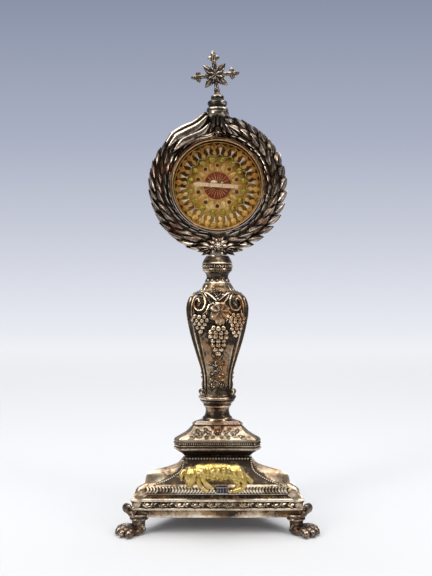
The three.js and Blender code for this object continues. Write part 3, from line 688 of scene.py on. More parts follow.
book_low, book_high = span("sealed_book")
book = Casting()
middle = (book_low + book_high) / 2
half = (book_high - book_low) / 2
cover = [(-1, -0.9), (-0.94, -1), (0.94, -1), (1, -0.9), (1, 0.9), (0.94, 1), (-0.94, 1), (-1, 0.9)]
for low, high, inset in ((-1.0, -0.72, 0), (-0.72, 0.72, 0.07), (0.72, 1.0, 0)):
    full = 1 - inset
    book.loft([[(middle.x + half.x * full * x, middle.y + half.y * full * y, middle.z + half.z * z)
                for x, y in cover] for z in (low, high)])
for i in range(4):
    across, edge = middle.x + (-0.72 + 0.48 * i) * half.x, book_low.y - 0.05
    book.ball((across, edge, middle.z - 0.1), (0.62, 0.35, 0.72))
    book.ball((across, edge - 0.3, middle.z - 0.1), (0.34, 0.2, 0.4), fine=1)
    book.tube([(across, edge + 0.1, middle.z + end * half.z) for end in (-0.9, 0.9)], 0.22, 6)
black_metal = old_silver("book_metal", (0.36, 0.36, 0.37), (0.06, 0.06, 0.065), (0.02, 0.019, 0.02),
                         0.1, 0.35, 1.0, (0.05, 0.045, 0.045), 0)
dressed(seasoned(book.made("book_cast"), 1.5), black_metal, "book_metal", "sealed_book")

# Upper tier of the foot. A second three-sided casting: a waisted plate with a row of small
# dentils between fillets, and a hollow top with a flower and leaves in relief on each face.

tier_low, tier_high = span("upper_base")


def cut_corner(height, face, strip, bulge=0.3):
    """A ring whose corners are cut off flat at a distance from the axis."""
    return three_sided(height, face, (strip - face / 2) / math.cos(math.pi / 6), strip + bulge)


tier_plate = [
    (tier_low.z, 13.8, 27.0), (50.2, 14.6, 27.6), (50.9, 15.8, 28.4), (51.7, 17.4, 29.6), (52.4, 18.3, 30.5),
    (53.2, 18.6, 30.9), (53.4, 19.5, 32.4), (53.9, 20.1, 33.1), (54.7, 20.35, 33.4), (55.4, 20.2, 33.3),
    (55.7, 19.5, 32.6), (56.2, 19.5, 32.6), (56.5, 20.0, 33.1), (57.0, 20.1, 33.2), (57.3, 19.6, 32.8),
    (57.5, 19.2, 32.5), (59.2, 19.2, 32.5), (59.4, 19.7, 32.9), (59.9, 20.05, 33.2), (60.5, 20.0, 33.1)]
tier_hollow = eased([(61.0, 19.8, 32.9), (61.8, 19.2, 32.4), (63.0, 17.8, 30.4), (64.4, 16.0, 26.4),
                     (66.0, 14.3, 23.4), (68.4, 12.4, 20.9), (69.9, 11.3, 19.2)], 4)
tier_top = [(70.1, 11.4, 19.2), (70.4, 11.8, 19.5), (71.2, 11.8, 19.4), (71.6, 11.3, 18.9),
            (72.0, 10.6, 18.2), (tier_high.z, 10.2, 17.8)]
tier = Casting()
tier.loft([cut_corner(*row) for row in [*tier_plate, *tier_hollow, *tier_top]])
tier_front = Casting()
dentil_half, dentil_pitch, dentil_height = 25.4, 1.45, 58.35
for across in np.arange(-dentil_half, dentil_half + 0.1, dentil_pitch):
    tier_front.ball((across, -19.4, dentil_height), (0.55, 0.6, 0.85))
for corner_turn in (-60, 60):
    spin = Matrix.Rotation(math.radians(corner_turn), 4, "Z")
    for across in np.arange(-4.6, 4.7, dentil_pitch):
        tier_front.ball((across, -32.6, dentil_height), (0.5, 0.55, 0.8), spin)


def on_hollow(across, height):
    """A point on the front of the hollow top, and the way out of it there."""
    face = np.interp(height, tier_hollow[:, 0], tier_hollow[:, 1])
    ahead = np.interp(height + 0.5, tier_hollow[:, 0], tier_hollow[:, 1])
    return (across, -face, height), Vector((0, -0.5, face - ahead)).normalized()


def relief_leaf(across, height, turn, length, width, rise):
    at, out = on_hollow(across, height)
    up = Vector((0, out.z, -out.y))
    heading = Vector((math.cos(math.radians(turn)), 0, 0)) + up * math.sin(math.radians(turn))
    tier_front.leaf(length, width, rise, facing(at, heading, out), steps=8)


for petal in range(6):
    relief_leaf(0.3, 65.8, petal * 60 + 12, 3.3, 2.2, 1.3)
at, out = on_hollow(0.3, 65.8)
tier_front.ball((at[0], at[1] - 0.5, at[2] + 0.4), 0.9)
for side in (-1, 1):
    for across, height, turn, length, width in (
            (4.2, 65.2, 20, 4.6, 2.4), (5.0, 64.2, -25, 4.0, 2.2), (7.6, 66.2, 60, 3.4, 2.2),
            (9.0, 65.0, 5, 5.0, 2.6), (10.6, 63.8, -30, 4.2, 2.4), (12.6, 65.4, 45, 3.6, 2.2),
            (3.0, 67.6, 75, 2.8, 1.8), (14.6, 63.4, 0, 4.6, 2.2), (16.4, 62.4, -15, 4.0, 2.0),
            (2.6, 63.6, -70, 2.6, 1.9), (7.0, 63.0, -60, 2.4, 1.8)):
        relief_leaf(side * across, height, turn if side > 0 else 180 - turn, length, width, 1.1)
    for across, height in ((12.0, 64.6), (6.4, 65.4), (16.4, 63.0)):
        tier_front.ball(on_hollow(side * across, height)[0], 0.75)
tier.add_round(tier_front, face_turns)


def tier_tarnish(spots):
    """Dark under the plate's lip, and between the dentils."""
    height = spots[:, 2]
    shade = np.where(height < 53.3, 0.7, 0.05)
    shade[(height > 57.4) & (height < 59.3)] = 0.3
    return shade


def tier_copper(spots):
    """A brown stain runs down from the stem."""
    high = np.clip((spots[:, 2] - 64.5) / 3, 0, 1)
    turns = np.arctan2(spots[:, 1], spots[:, 0])
    return 0.5 * high * (np.abs(np.sin(1.5 * turns + 3 * math.pi / 4)) < 0.5)


tier_silver = old_silver("tier_silver", (0.86, 0.75, 0.60), (0.42, 0.32, 0.22), (0.038, 0.025, 0.016), -0.04)
tier_piece = seasoned(tier.made("foot_upper_tier"), 2.6, tier_tarnish, tier_copper)
dressed(tier_piece, tier_silver, "base_silver", "upper_base")

# Foot of the stem. Turned silver with a waist between its rings, which stands on the upper tier
# and carries the vase. A rod through the stem would hold them all together.

foot_low, foot_high = span("stem_foot")
stem_profile = [
    (0.1, foot_low.z), (10.6, foot_low.z), (10.9, 73.2), (10.7, 73.8), (10.0, 74.4), (9.3, 74.9),
    (9.0, 76.0), (8.6, 77.6), (8.3, 79.2), (8.5, 80.4), (8.9, 81.2), (9.4, 81.9), (9.9, 82.3),
    (10.1, 82.8), (10.0, 83.3), (9.8, 83.6), (10.4, 84.2), (11.2, 85.0), (12.0, 85.7), (12.5, 86.3),
    (12.4, 86.8), (12.3, 87.1), (13.0, 87.5), (13.5, 88.0), (13.65, 88.6), (13.5, 89.2), (12.9, 89.7),
    (12.2, 89.9), (11.6, 90.1), (11.3, 90.5), (11.2, foot_high.z), (0.1, foot_high.z)]
stem_foot = Casting()
stem_foot.turned(stem_profile, 96)
stem_silver = old_silver("stem_silver", (0.90, 0.75, 0.56), (0.36, 0.265, 0.18), (0.028, 0.018, 0.011),
                         0.02, 0.2, 1.15, (0.34, 0.17, 0.065), 0.12)


def turned_tarnish(spots):
    """Brown patches that follow the turning."""
    turns, height = np.arctan2(spots[:, 1], spots[:, 0]), spots[:, 2]
    return 0.6 * np.sin(2 * turns + height * 0.35) * np.sin(turns * 3 - height * 0.21) + 0.2


stem_foot_piece = seasoned(stem_foot.made("stem_foot_cast"), 3.0, turned_tarnish)
dressed(stem_foot_piece, stem_silver, "stem_silver", "stem_foot")

# Vase of the stem. Silver embossed from the inside, a rounded triangle in plan: a strap with two
# ridges runs down each corner from a volute to a small scroll. Vine leaves and grapes are worked
# up on the faces over a chased lower part, boldly in front and in low relief on the other two.

vase_low, vase_high = span("vase")
vase_curve = eased([
    (11.1, vase_low.z), (10.9, 95.0), (10.9, 101), (12.0, 108.7), (15.7, 120.2), (19.4, 131.8),
    (21.9, 142), (23.2, 151), (22.6, 156.6), (20.6, 161), (17.2, 163.7), (12.8, 165.5), (11.2, 167.2),
    (10.5, 169), (9.5, vase_high.z)], 9)
face_share = 0.8
strap_half = 11


def vase_radius(height):
    return np.interp(height, vase_curve[:, 1], vase_curve[:, 0])


def flattened(radius, turn):
    """The share of the radius left, turn degrees from the middle of a face. Necks stay round."""
    blend = np.clip((radius - 11) / 6, 0, 1)
    blend = blend * blend * (3 - 2 * blend)
    return 1 - (1 - face_share) * blend * (0.5 + 0.5 * np.cos(3 * np.radians(turn))) ** 1.1


def vase_ring(radius, height):
    """A ring with two ridges along each corner's strap, and a groove outside them."""
    ridge = 0.9 * np.interp(height, [vase_low.z, 94, 160, 167, 170], [0, 1, 1, 0.6, 0])
    ring = []
    for corner in corner_ways:
        for sweep in np.linspace(-60, 60, 73)[:-1]:
            strap = abs(sweep) / strap_half
            reach = radius * flattened(radius, sweep + 60)
            reach += 0.9 * ridge * math.exp(-((strap - 0.8) / 0.22) ** 2)
            reach -= 0.7 * ridge * math.exp(-(strap / 0.42) ** 2)
            reach -= 1.1 * ridge * math.exp(-((strap - 1.35) / 0.2) ** 2)
            turn = math.radians(corner + sweep)
            ring.append((reach * math.cos(turn), reach * math.sin(turn), height))
    return ring


vase = Casting()
vase.loft([vase_ring(*row) for row in vase_curve])


def on_vase(turn, height, out=0.0):
    """A point on the vase, turn degrees to the right of a face's middle, and the way out of it."""
    radius, above = vase_radius(height), vase_radius(height + 0.5)
    share = flattened(radius, turn)
    angle, lean = math.radians(turn), math.radians(turn * 0.6)
    way = Vector((math.sin(lean), -math.cos(lean), 2 * share * (radius - above))).normalized()
    reach = radius * share
    return Vector((reach * math.sin(angle), -reach * math.cos(angle), height)) + way * out, way


def vase_leaf(part, turn, height, lean, length, width, rise=1.0, curl=0.0, veins=0, out=0.0):
    at, way = on_vase(turn, height, out)
    up = (Vector((0, 0, 1)) - way * way.z).normalized()
    side = up.cross(way)
    heading = side * math.cos(math.radians(lean)) + up * math.sin(math.radians(lean))
    part.leaf(length, width, rise, facing(at, heading, way), curl, veins)


def bunch(part, turn, top, pitch, rows_wide, heap=1.5):
    """Grapes heaped in rows that narrow to one, highest along the middle."""
    for row, wide in enumerate(rows_wide):
        height = top - row * pitch * 0.86
        for i in range(wide):
            off = i - (wide - 1) / 2
            beside = math.degrees(off * pitch / (0.86 * vase_radius(height)))
            swell = heap * (1 - (off / max(wide / 2, 1)) ** 2)
            at, way = on_vase(turn + beside, height + 0.3 * math.sin(5 * i + row), 0.4 + swell)
            part.ball(at, pitch * 0.64, fine=3)


def wire(part, spots, radii, out=0.4):
    part.tube([on_vase(turn, height, out)[0] for turn, height in spots], radii)


def vine(front_face):
    """The grapes, leaf, stalks and ribbons on one face."""
    part = Casting()
    if front_face:
        bunch(part, 2, 139.8, 3.4, (3, 4, 4, 3, 3, 2, 1), 2.0)
        bunch(part, -35, 147.6, 2.9, (3, 4, 3, 2, 1), 0.9)
        bunch(part, 39, 148.6, 2.7, (3, 4, 4, 3, 3, 2, 1), 0.7)
    else:
        bunch(part, 0, 139.5, 3.5, (4, 4, 3, 2, 1))
        for side in (-1, 1):
            bunch(part, side * 21, 147.0, 2.5, (3, 3, 2, 1), -0.1)
    lobes = ((-90, 12.4), (-36, 9.8), (-144, 9.4), (16, 8.0), (164, 7.8), (62, 7.2), (118, 7.2))
    for lean, length in lobes:
        vase_leaf(part, 6, 151.4, lean, length, 8.0, 1.3, -0.6, 4, 0.9)
    for side in (-1, 1):
        wire(part, [(3 * side, 154), (10 * side, 157), (17 * side, 155.5), (22 * side, 151.5),
                    (30 * side, 148.5)], [0.6, 0.75, 0.7, 0.6, 0.45])
        wire(part, [(2 * side, 158.5), (12 * side, 160.8), (24 * side, 162.8), (36 * side, 163.6)],
             [0.5, 0.75, 0.8, 0.5], 0.6 if front_face else 0.1)
        for turn, height, lean, length, width in (
                (12, 154.0, -30, 4.6, 2.6), (20, 152.0, -70, 4.2, 2.4), (27, 160.5, 10, 4.4, 2.4),
                (33, 157.6, -60, 4.0, 2.2), (17, 158.6, 60, 3.6, 2.2), (46, 153.0, -95, 5.0, 2.4),
                (30, 142.0, -100, 3.4, 1.9), (22, 147.0, -110, 4.6, 2.4), (14, 145.0, -60, 3.6, 2.2)):
            mirrored = lean if side > 0 else 180 - lean
            if front_face or turn < 24:
                vase_leaf(part, side * turn, height, mirrored, length, width, 1.1, 0.3, 2, 0.3)
    for turn, height, size in (
            (-14, 167.4, 0.8), (-11, 165.8, 0.85), (-8, 164.2, 0.9), (-5, 162.7, 0.9),
            (-2, 161.2, 0.95), (1, 159.6, 1.0), (9, 164.6, 1.2), (14, 162.2, 1.0)):
        part.ball(on_vase(turn, height, 0.2)[0], (size, size, size * 1.1), fine=3)
    for lean in (50, 90, 130):
        vase_leaf(part, 0, 161, lean, 6.0, 2.4, 1.2, 0.4)
    for turn, height in ((0, 119.5), (-6, 112.5), (7, 110.5), (0, 104.5)):
        for petal in range(5):
            vase_leaf(part, turn, height, petal * 72 + 20 * height, 2.5, 1.7, 0.7)
        part.ball(on_vase(turn, height, 0.2)[0], 0.6, fine=1)
    for turn, height, size in ((3, 104, 1.6), (-7, 107.5, 1.4), (6, 110.5, 1.5), (-3, 114, 1.3),
                               (5, 118, 1.2), (-9, 100.5, 1.3), (10, 99.5, 1.2)):
        curl = []
        for t in np.linspace(0, 5, 13):
            reach = size * (1 - 0.12 * t)
            curl.append((turn + 5.2 * reach * math.cos(t + height), height + reach * math.sin(t + height)))
        wire(part, curl, 0.3, 0.05)
    for side in (-1, 1):
        for turn, height, lean in ((9, 118, 60), (12, 113, 20), (11, 107, -30), (14, 101, 40),
                                   (9, 98, -50), (20, 96.5, 80), (30, 95.5, 80)):
            vase_leaf(part, side * turn, height, lean if side > 0 else 180 - lean, 3.8, 1.9, 0.6)
    return part


vase.add_round(vine(True), (0,))
vase.add_round(vine(False), (120, 240))

# The volute and the brow over it, as degrees from the middle of a face and height, for each side
# of each corner. They stand highest beside the front face.
volute = eased([(53, 138), (56, 147), (57.5, 154), (55, 160), (47, 163.2), (37, 162.8), (28, 160),
                (25, 156.4), (29, 152.8), (38, 152), (45.5, 154.6), (46, 158.4), (40.5, 159.8),
                (36.5, 157.6)], 4)
brow = eased([(50, 163.6), (38, 163.8), (26, 161.6), (16, 157.6), (10, 154)], 4)
for corner in corner_ways:
    place = Matrix.Rotation(math.radians(corner), 4, "Z")
    for wide in (-1.5, -0.5, 0.5, 1.5):
        foot_curl = []
        for t in np.linspace(0, 5.4, 22):
            reach = 1.9 - 0.26 * t
            foot_curl.append((12.4 + reach * math.sin(t), wide, vase_low.z + 2.3 - reach * math.cos(t)))
        vase.tube(foot_curl, np.linspace(0.8, 0.45, 22), place=place)
    for hand in (-1, 1):
        spin = Matrix.Rotation(math.radians(corner + 90 + 60 * hand), 4, "Z")
        rise = 0.5 if (corner, hand) in ((-150, 1), (-30, -1)) else -0.3
        for line, thick in ((volute, 1.0), (brow, 0.8)):
            path = [on_vase(-hand * turn, height, np.interp(turn, [44, 52], [rise, -0.75]))[0]
                    for turn, height in line]
            vase.tube(path, np.linspace(0.9 * thick, 0.55 * thick, len(path)), place=spin)


def from_face(spots):
    """Degrees from the middle of the nearest face, and how far a point stands out of the vase."""
    angle = np.degrees(np.arctan2(spots[:, 1], spots[:, 0]))
    turn = (angle + 90 + 60) % 120 - 60
    radius = vase_radius(spots[:, 2])
    return turn, np.hypot(spots[:, 0], spots[:, 1]) - radius * flattened(radius, turn)


def vase_tarnish_and_shade(spots):
    """The grapes are rubbed bright; the eyes of the volutes and the ground are dark, and the corner straps
    are darkened with painted shade.
    """
    turn, out = from_face(spots)
    height = spots[:, 2]
    shade = np.full(len(spots), 0.15)
    # Painted shade: the corner straps, which turn away from view at the sides, are darkened.
    shade[(np.abs(turn) > 48) & (height < 158) & (out < 0.6)] = 0.85
    shade[(height > 128) & (height < 163) & (np.abs(turn) < 48)] = 0.5
    eye = np.hypot((np.abs(turn) - 39) * 0.3, height - 157.2) < 2.2
    shade[eye & (out < 0.5)] = 1.0
    shade[(out > 0.9) & (height < 164)] = 0.06
    shade[(out > 0.9) & (np.abs(turn - 5) < 22) & (height > 140.5) & (height < 160)] = -0.12
    shade[height < 97] = 0.35
    return shade


def vase_copper(spots):
    """Brown on the chased lower part of each face and on the vine leaf."""
    turn, out = from_face(spots)
    height = spots[:, 2]
    low = (height > 98) & (height < 128) & (np.abs(turn) < 34)
    patches = 0.28 + 0.2 * np.sin(height * 0.5 + turn * 0.13) * np.sin(turn * 0.11 + 1)
    return np.where(low, patches, np.where((out > 0.7) & (height > 118) & (height < 160), 0.14, 0))


vase_piece = seasoned(vase.made("vase_cast"), 2.6, vase_tarnish_and_shade, vase_copper)
dressed(vase_piece, stem_silver, "stem_silver", "vase")

# Collar. Turned silver between the vase and the wreath, with a rolled band stamped with
# small flowers between two bright lips.

collar_low, collar_high = span("collar")
band_low, band_high = 181.0, 184.6
collar = Casting()
collar.turned([
    (0.1, collar_low.z), (9.3, collar_low.z), (8.9, 171.6), (8.2, 172.8), (7.8, 174.2), (7.8, 175.4),
    (8.2, 177.0), (8.9, 178.1), (10.2, 179.0), (10.6, 179.6), (10.3, 180.0), (10.8, 180.3),
    (11.0, 180.6), (10.9, band_low), (10.5, band_low + 0.2), (10.5, band_high - 0.2),
    (10.9, band_high), (11.0, band_high + 0.35), (10.8, 185.4), (10.3, 185.8), (10.0, 186.8),
    (9.5, 187.8), (8.9, 188.7), (8.4, 189.4), (8.2, collar_high.z), (0.1, collar_high.z)], 96)
band_middle = (band_low + band_high) / 2
for i in range(16):
    turn, between = math.radians(i * 22.5), math.radians(i * 22.5) + 0.196
    out = Vector((math.sin(turn), -math.cos(turn), 0))
    middle = out * 10.5 + Vector((0, 0, band_middle))
    side = Vector((math.cos(turn), math.sin(turn), 0))
    for petal in range(4):
        angle = math.radians(petal * 90 + 45)
        heading = side * math.cos(angle) + Vector((0, 0, math.sin(angle)))
        collar.leaf(1.6, 1.0, 0.5, facing(middle, heading, out), steps=6)
    collar.ball(middle + out * 0.25, 0.35, fine=1)
    collar.ball((10.45 * math.sin(between), -10.45 * math.cos(between), band_middle), (0.4, 0.4, 1.0), fine=1)
for i in range(14):
    turn = 2 * math.pi * (i + 0.5) / 14
    collar.ball((8.3 * math.cos(turn), 8.3 * math.sin(turn), 172.6), (0.9, 0.9, 1.0))
dressed(seasoned(collar.made("collar_cast"), 2.0, turned_tarnish), stem_silver, "stem_silver", "collar")

# Wreath. Two laurel branches cast in silver rise from a rosette on each side of the window
# and meet under the finial, where long smooth leaves run up to it. The back is a plain plate.

wreath_low, wreath_high = span("wreath")
case_low, case_high = span("relic_case")
window_middle = (case_low.z + case_high.z) / 2
window_radius = (case_high.x - case_low.x) / 2 + 0.3
laurel = Casting()
upright = Matrix.Translation((0, 0, window_middle)) @ Matrix.Rotation(math.radians(90), 4, "X")
plate_rows = [(window_radius, 1.0), (window_radius, -2.9), (window_radius + 0.6, -3.2), (45.0, -3.2),
              (46.2, -2.6), (46.2, -1.6), (45.0, -0.4), (43.6, 0.8), (41.0, 1.8), (37.6, 2.0),
              (35.0, 2.0), (window_radius + 0.2, 1.6)]
laurel.loft([[(radius * math.cos(t), radius * math.sin(t), depth) for t in once_round(120)]
             for radius, depth in plate_rows], upright, endless=True)

# Each row: radius, way outward in degrees, depth, length, width, number of leaves, first and last
# place along the branch in degrees from the rosette.
branches = {
    -1: [(45.6, 12, -1.6, 16.0, 5.0, 12, 10, 118), (35.4, -5, 1.0, 14.0, 4.6, 13, 8, 134),
         (43.6, 10, 2.0, 18.0, 5.2, 12, 4, 122), (37.4, -6, 2.4, 17.0, 5.2, 12, 6, 130),
         (40.4, 1, 3.4, 18.0, 5.4, 12, 12, 128)],
    1: [(45.4, 26, -1.8, 12.0, 5.4, 15, 10, 158), (35.4, -8, 1.0, 12.0, 5.0, 15, 6, 164),
        (43.4, 21, 2.0, 14.0, 5.8, 15, 4, 162), (37.4, -14, 2.4, 13.0, 5.6, 15, 12, 164),
        (40.4, 3, 3.6, 15.0, 5.8, 15, 8, 164)]}
for side, rows in branches.items():
    for radius, outward, depth, leaf_length, leaf_width, leaves, first, last in rows:
        for i in range(leaves):
            rise = first + i * (last - first) / (leaves - 1)
            jitter = dent(Vector((radius * 0.37, i * 1.7, side * 3.1)))
            angle = math.radians(-90 + side * rise)
            heading = angle + side * (math.pi / 2 - math.radians(outward + 9 * jitter))
            at = (radius * math.cos(angle), radius * math.sin(angle), depth + 0.6 * jitter)
            tilt = Vector((math.cos(heading), math.sin(heading), 0.22))
            lean_out = 0.3 * (radius - 41) / 3.4 + 0.3 * jitter
            over = Vector((lean_out * math.cos(angle), lean_out * math.sin(angle), 1))
            long = leaf_length * (0.94 + 0.16 * dent(Vector((i * 2.3, radius, side))))
            laurel.leaf(long, leaf_width, 2.4, upright @ facing(at, tilt, over), 0.4, steps=12, cup=0.3)


def flat_leaf(at, heading, length, width, rise, curl=0.0, steps=9, cup=0.3):
    """A leaf laid in the wreath's plane, where z comes towards the viewer."""
    laurel.leaf(length, width, rise, upright @ facing(at, heading, (0, 0, 1)), curl, steps=steps, cup=cup)


# The rosette at the foot: three rings of petals round a button, and a spray of leaves each side.
rosette = (0.6, -43.4)
for count, reach, wide, depth, lift in (
        (11, 9.6, 3.6, 5.4, 0.10), (9, 7.4, 3.0, 6.8, 0.28), (7, 4.6, 2.4, 7.8, 0.6)):
    for petal in range(count):
        turn = 2 * math.pi * petal / count + 0.3 * count
        tall = reach * (0.84 + 0.16 * abs(math.cos(turn)))
        if math.sin(turn) > 0:
            tall *= 0.92
        flat_leaf((*rosette, depth), (math.cos(turn), math.sin(turn), lift), tall, wide, 1.2, -0.7)
laurel.ball((*rosette, 9.0), (1.3, 1.3, 0.9), upright, fine=3)
for t in once_round(7):
    laurel.ball((rosette[0] + 1.6 * math.cos(t), rosette[1] + 1.6 * math.sin(t), 8.8), 0.6, upright)
for side in (-1, 1):
    for reach, drop, wide in ((12.5, -3.4, 4.2), (15.5, -0.6, 4.4), (9.4, -6.0, 3.8), (13.0, 2.8, 4.2)):
        at = (rosette[0] + side * 2.5, rosette[1] - 1.0, 4.4)
        flat_leaf(at, (side * reach, drop, -0.4), math.hypot(reach, drop), wide, 1.7, steps=10)


def sweep_leaf(path, widths, thick):
    """A long smooth leaf, hollow along its middle, laid along a path in the wreath's plane."""
    path = eased(path, 5)
    widths = np.interp(np.linspace(0, 1, len(path)), np.linspace(0, 1, len(widths)), widths)
    rings = []
    for point, ahead, wide in zip(path, np.gradient(path, axis=0), widths):
        side = np.array((-ahead[1], ahead[0], 0)) / math.hypot(ahead[0], ahead[1]) * wide / 2
        ring = []
        for v in (-1, -0.8, -0.45, 0, 0.45, 0.8, 1):
            swell = 1 - 0.9 * abs(v) ** 3 - 0.12 * math.exp(-(v / 0.5) ** 2)
            ring.append(point + side * v + (0, 0, thick * swell))
        ring += [point + side * v - (0, 0, thick * 0.8) for v in (0.7, -0.7)]
        rings.append(ring)
    laurel.loft(rings, upright)


# Four long leaves sweep up to the socket from the left, and short ones stand around a small flower.
crown = wreath_high.z - window_middle
for start, middle, end, wide, depth in (
        ((38.6, 26.5), (24.4, 39.6), (8.2, crown + 1.6), 4.8, 2.4),
        ((35.6, 25.6), (21.0, 36.8), (7.0, crown - 1.4), 6.0, 4.4),
        ((31.4, 23.0), (17.6, 33.4), (5.0, 43.4), 5.4, 5.2),
        ((24.0, 25.6), (12.6, 33.4), (1.6, 37.4), 3.6, 4.8)):
    mid_low = np.array(start) * 0.5 + np.array(middle) * 0.5 + (0.9, 1.5)
    mid_high = np.array(middle) * 0.5 + np.array(end) * 0.5 + (-0.6, -1.4)
    path = [(-p[0], p[1], depth + lift) for p, lift in
            ((start, -0.8), (mid_low, 0.3), (middle, 0.6), (mid_high, 0.4), (end, -0.4))]
    sweep_leaf(path, [0.5, wide, wide * 1.1, wide * 0.9, 1.8], 1.9)
laurel.loft([[(half * math.cos(t), height, 0.6 + 2.6 * math.sin(t)) for t in once_round(24)]
             for height, half in ((38.5, 27), (41, 21.5), (43, 17.2), (45, 13.2), (47, 10.6), (48.6, 9.0),
                                  (crown, 8.4))], upright)
neck_top, crown_foot = window_middle - 43, window_middle + 43
laurel.turned([(0.1, wreath_low.z), (7.4, wreath_low.z), (7.5, 192.4), (7.0, 194.6), (6.6, neck_top),
               (0.1, neck_top)], 40)
laurel.turned([(0.1, crown_foot), (6.0, crown_foot), (7.2, 287.6), (8.3, 289.4), (8.4, wreath_high.z),
               (0.1, wreath_high.z)], 48)
for across, foot, lean, tall, wide, depth in (
        (-5.6, 36.0, 66, 14.0, 4.0, 5.6), (5.8, 36.2, 112, 13.6, 4.2, 5.6), (0.2, 35.4, 90, 8.0, 4.0, 6.2),
        (-2.6, 40.0, 84, 9.6, 3.4, 6.8), (3.0, 40.0, 96, 9.4, 3.4, 6.8), (0.2, 41.4, 90, 8.4, 3.2, 7.6),
        (10.5, 36.0, 128, 12.0, 4.4, 5.0), (14.6, 35.0, 140, 12.0, 4.4, 4.4),
        (8.4, 41.0, 118, 8.0, 3.8, 4.4)):
    heading = (math.cos(math.radians(lean)), math.sin(math.radians(lean)), 0.02)
    flat_leaf((across, foot, depth), heading, tall, wide, 1.6)
for t in once_round(6):
    flat_leaf((0.6, 36.4, 8.0), (math.cos(t), math.sin(t), 0.2), 2.8, 1.7, 0.9, steps=7, cup=0.2)
laurel.ball((0.6, 36.4, 8.6), (0.8, 0.8, 0.7), upright)
wreath_silver = old_silver("wreath_silver", (0.72, 0.60, 0.49), (0.155, 0.115, 0.085),
                           (0.016, 0.011, 0.008), 0.05, 0.16, 1.3, (0.13, 0.055, 0.03), 0.2)


def wreath_tarnish(spots):
    """The long leaves at the left of the crown and the rosette are rubbed bright."""
    x, z, out = spots[:, 0], spots[:, 2] - window_middle, -spots[:, 1]
    swept = (x < -5) & (x > -34) & (z > 33) & (out > 3.2)
    petals = (np.hypot(x - rosette[0], z - rosette[1]) < 10) & (out > 5.6)
    return np.where(swept, -0.12, np.where(petals, -0.65, 0.0))


# Leaf edges that reach into the window are pushed back to its rim.
wreath_piece = laurel.made("laurel_wreath", sharp=50)
window_edge, window_centre = window_radius / 1000, window_middle / 1000
for vertex in wreath_piece.data.vertices:
    x, z = vertex.co.x, vertex.co.z - window_centre
    reach = math.hypot(x, z)
    if 0.02 < reach < window_edge:
        vertex.co.x, vertex.co.z = x * window_edge / reach, z * window_edge / reach + window_centre
dressed(seasoned(wreath_piece, 3.0, wreath_tarnish), wreath_silver, "wreath_silver", "wreath")

# Relic case. A shallow round box of dull silver behind the wreath, with a domed back, closed in
# front by a thin gilt rim that holds the glass.

case_depth = case_high.y
case_mouth = case_low.y
case_outer = window_radius - 0.3


def from_front(part, profile):
    """Turns a profile of (radius, y) about the window's middle."""
    part.turned([(radius, -depth) for radius, depth in profile], 128, upright)


case = Casting()
floor_depth = case_depth - 3.6
from_front(case, [
    (0.1, floor_depth), (case_outer - 1.3, floor_depth), (case_outer - 1.3, case_mouth),
    (case_outer, case_mouth), (case_outer, case_depth - 3.4), (case_outer - 0.3, case_depth - 2.6),
    (case_outer - 1.6, case_depth - 1.4), (case_outer - 4, case_depth - 1.0),
    (case_outer - 4.6, case_depth - 1.3), (case_outer - 5.4, case_depth - 1.0),
    (20, case_depth - 0.4), (10, case_depth - 0.1), (0.1, case_depth)])
case_silver = old_silver("case_silver", (0.80, 0.70, 0.58), (0.46, 0.37, 0.29), (0.09, 0.065, 0.05),
                         0.05, 0.36)
dressed(seasoned(case.made("relic_case_shell"), 2.5), case_silver, "case_silver", "relic_case")

rim_low, rim_high = span("gilt_rim")
rim = Casting()
rings = []
for inset, depth in (
        (2.0, rim_high.y), (2.0, rim_low.y + 0.5), (1.85, rim_low.y + 0.12), (1.5, rim_low.y),
        (1.15, rim_low.y + 0.12), (1.0, rim_low.y + 0.45), (0.9, rim_high.y - 0.3),
        (0, rim_high.y - 0.3), (0, rim_high.y)):
    ring = []
    for t in once_round(160):
        radius = (case_outer - inset) * (1 + 0.0012 * math.sin(7 * t) + 0.0009 * math.sin(13 * t + 1))
        ring.append((radius * math.cos(t), depth, window_middle + radius * math.sin(t)))
    rings.append(ring)
rim.loft(rings, endless=True)
rim_gilding = old_silver("rim_gilding", (1.0, 0.62, 0.30), (0.92, 0.48, 0.17), (0.07, 0.03, 0.012),
                         -0.45, 0.22, 1.0, (0.92, 0.58, 0.30), 0)


def rim_tarnish(spots):
    """Only the bead at the inner edge is bright; the flange behind it is brown."""
    return np.where(np.hypot(spots[:, 0], spots[:, 2] - window_middle) > case_outer - 0.95, 1.3, 0)


dressed(seasoned(rim.made("gilt_rim_ring"), 1.5, rim_tarnish), rim_gilding, "rim_gilding", "gilt_rim")

# Relic display. Paper work under the glass: a gilt ground with amber petals round its edge,
# scalloped quilling, rings of white drops, green bosses and dark red gems in gold collets, and
# a red sunburst with gold rays, across which the paper label is fixed.

board_low, board_high = span("relic_board")
ground_depth = board_low.y + 1.2
board_radius = (board_high.x - board_low.x) / 2


def on_board(radius, turn, out=0.0):
    angle = math.radians(turn)
    return Vector((radius * math.cos(angle), ground_depth - out, window_middle + radius * math.sin(angle)))


def along(turn):
    return Vector((math.cos(math.radians(turn)), 0, math.sin(math.radians(turn))))


towards = Vector((0, -1, 0))
ground = Casting()
ground.loft([[(radius * math.cos(t), depth, window_middle + radius * math.sin(t)) for t in once_round(144)]
             for radius, depth in (
                 (0.1, board_high.y), (board_radius, board_high.y), (board_radius, ground_depth - 0.5),
                 (30.5, ground_depth), (26, ground_depth + 0.05), (22, ground_depth),
                 (16.6, ground_depth - 0.1), (12, ground_depth - 0.05), (0.1, ground_depth))])


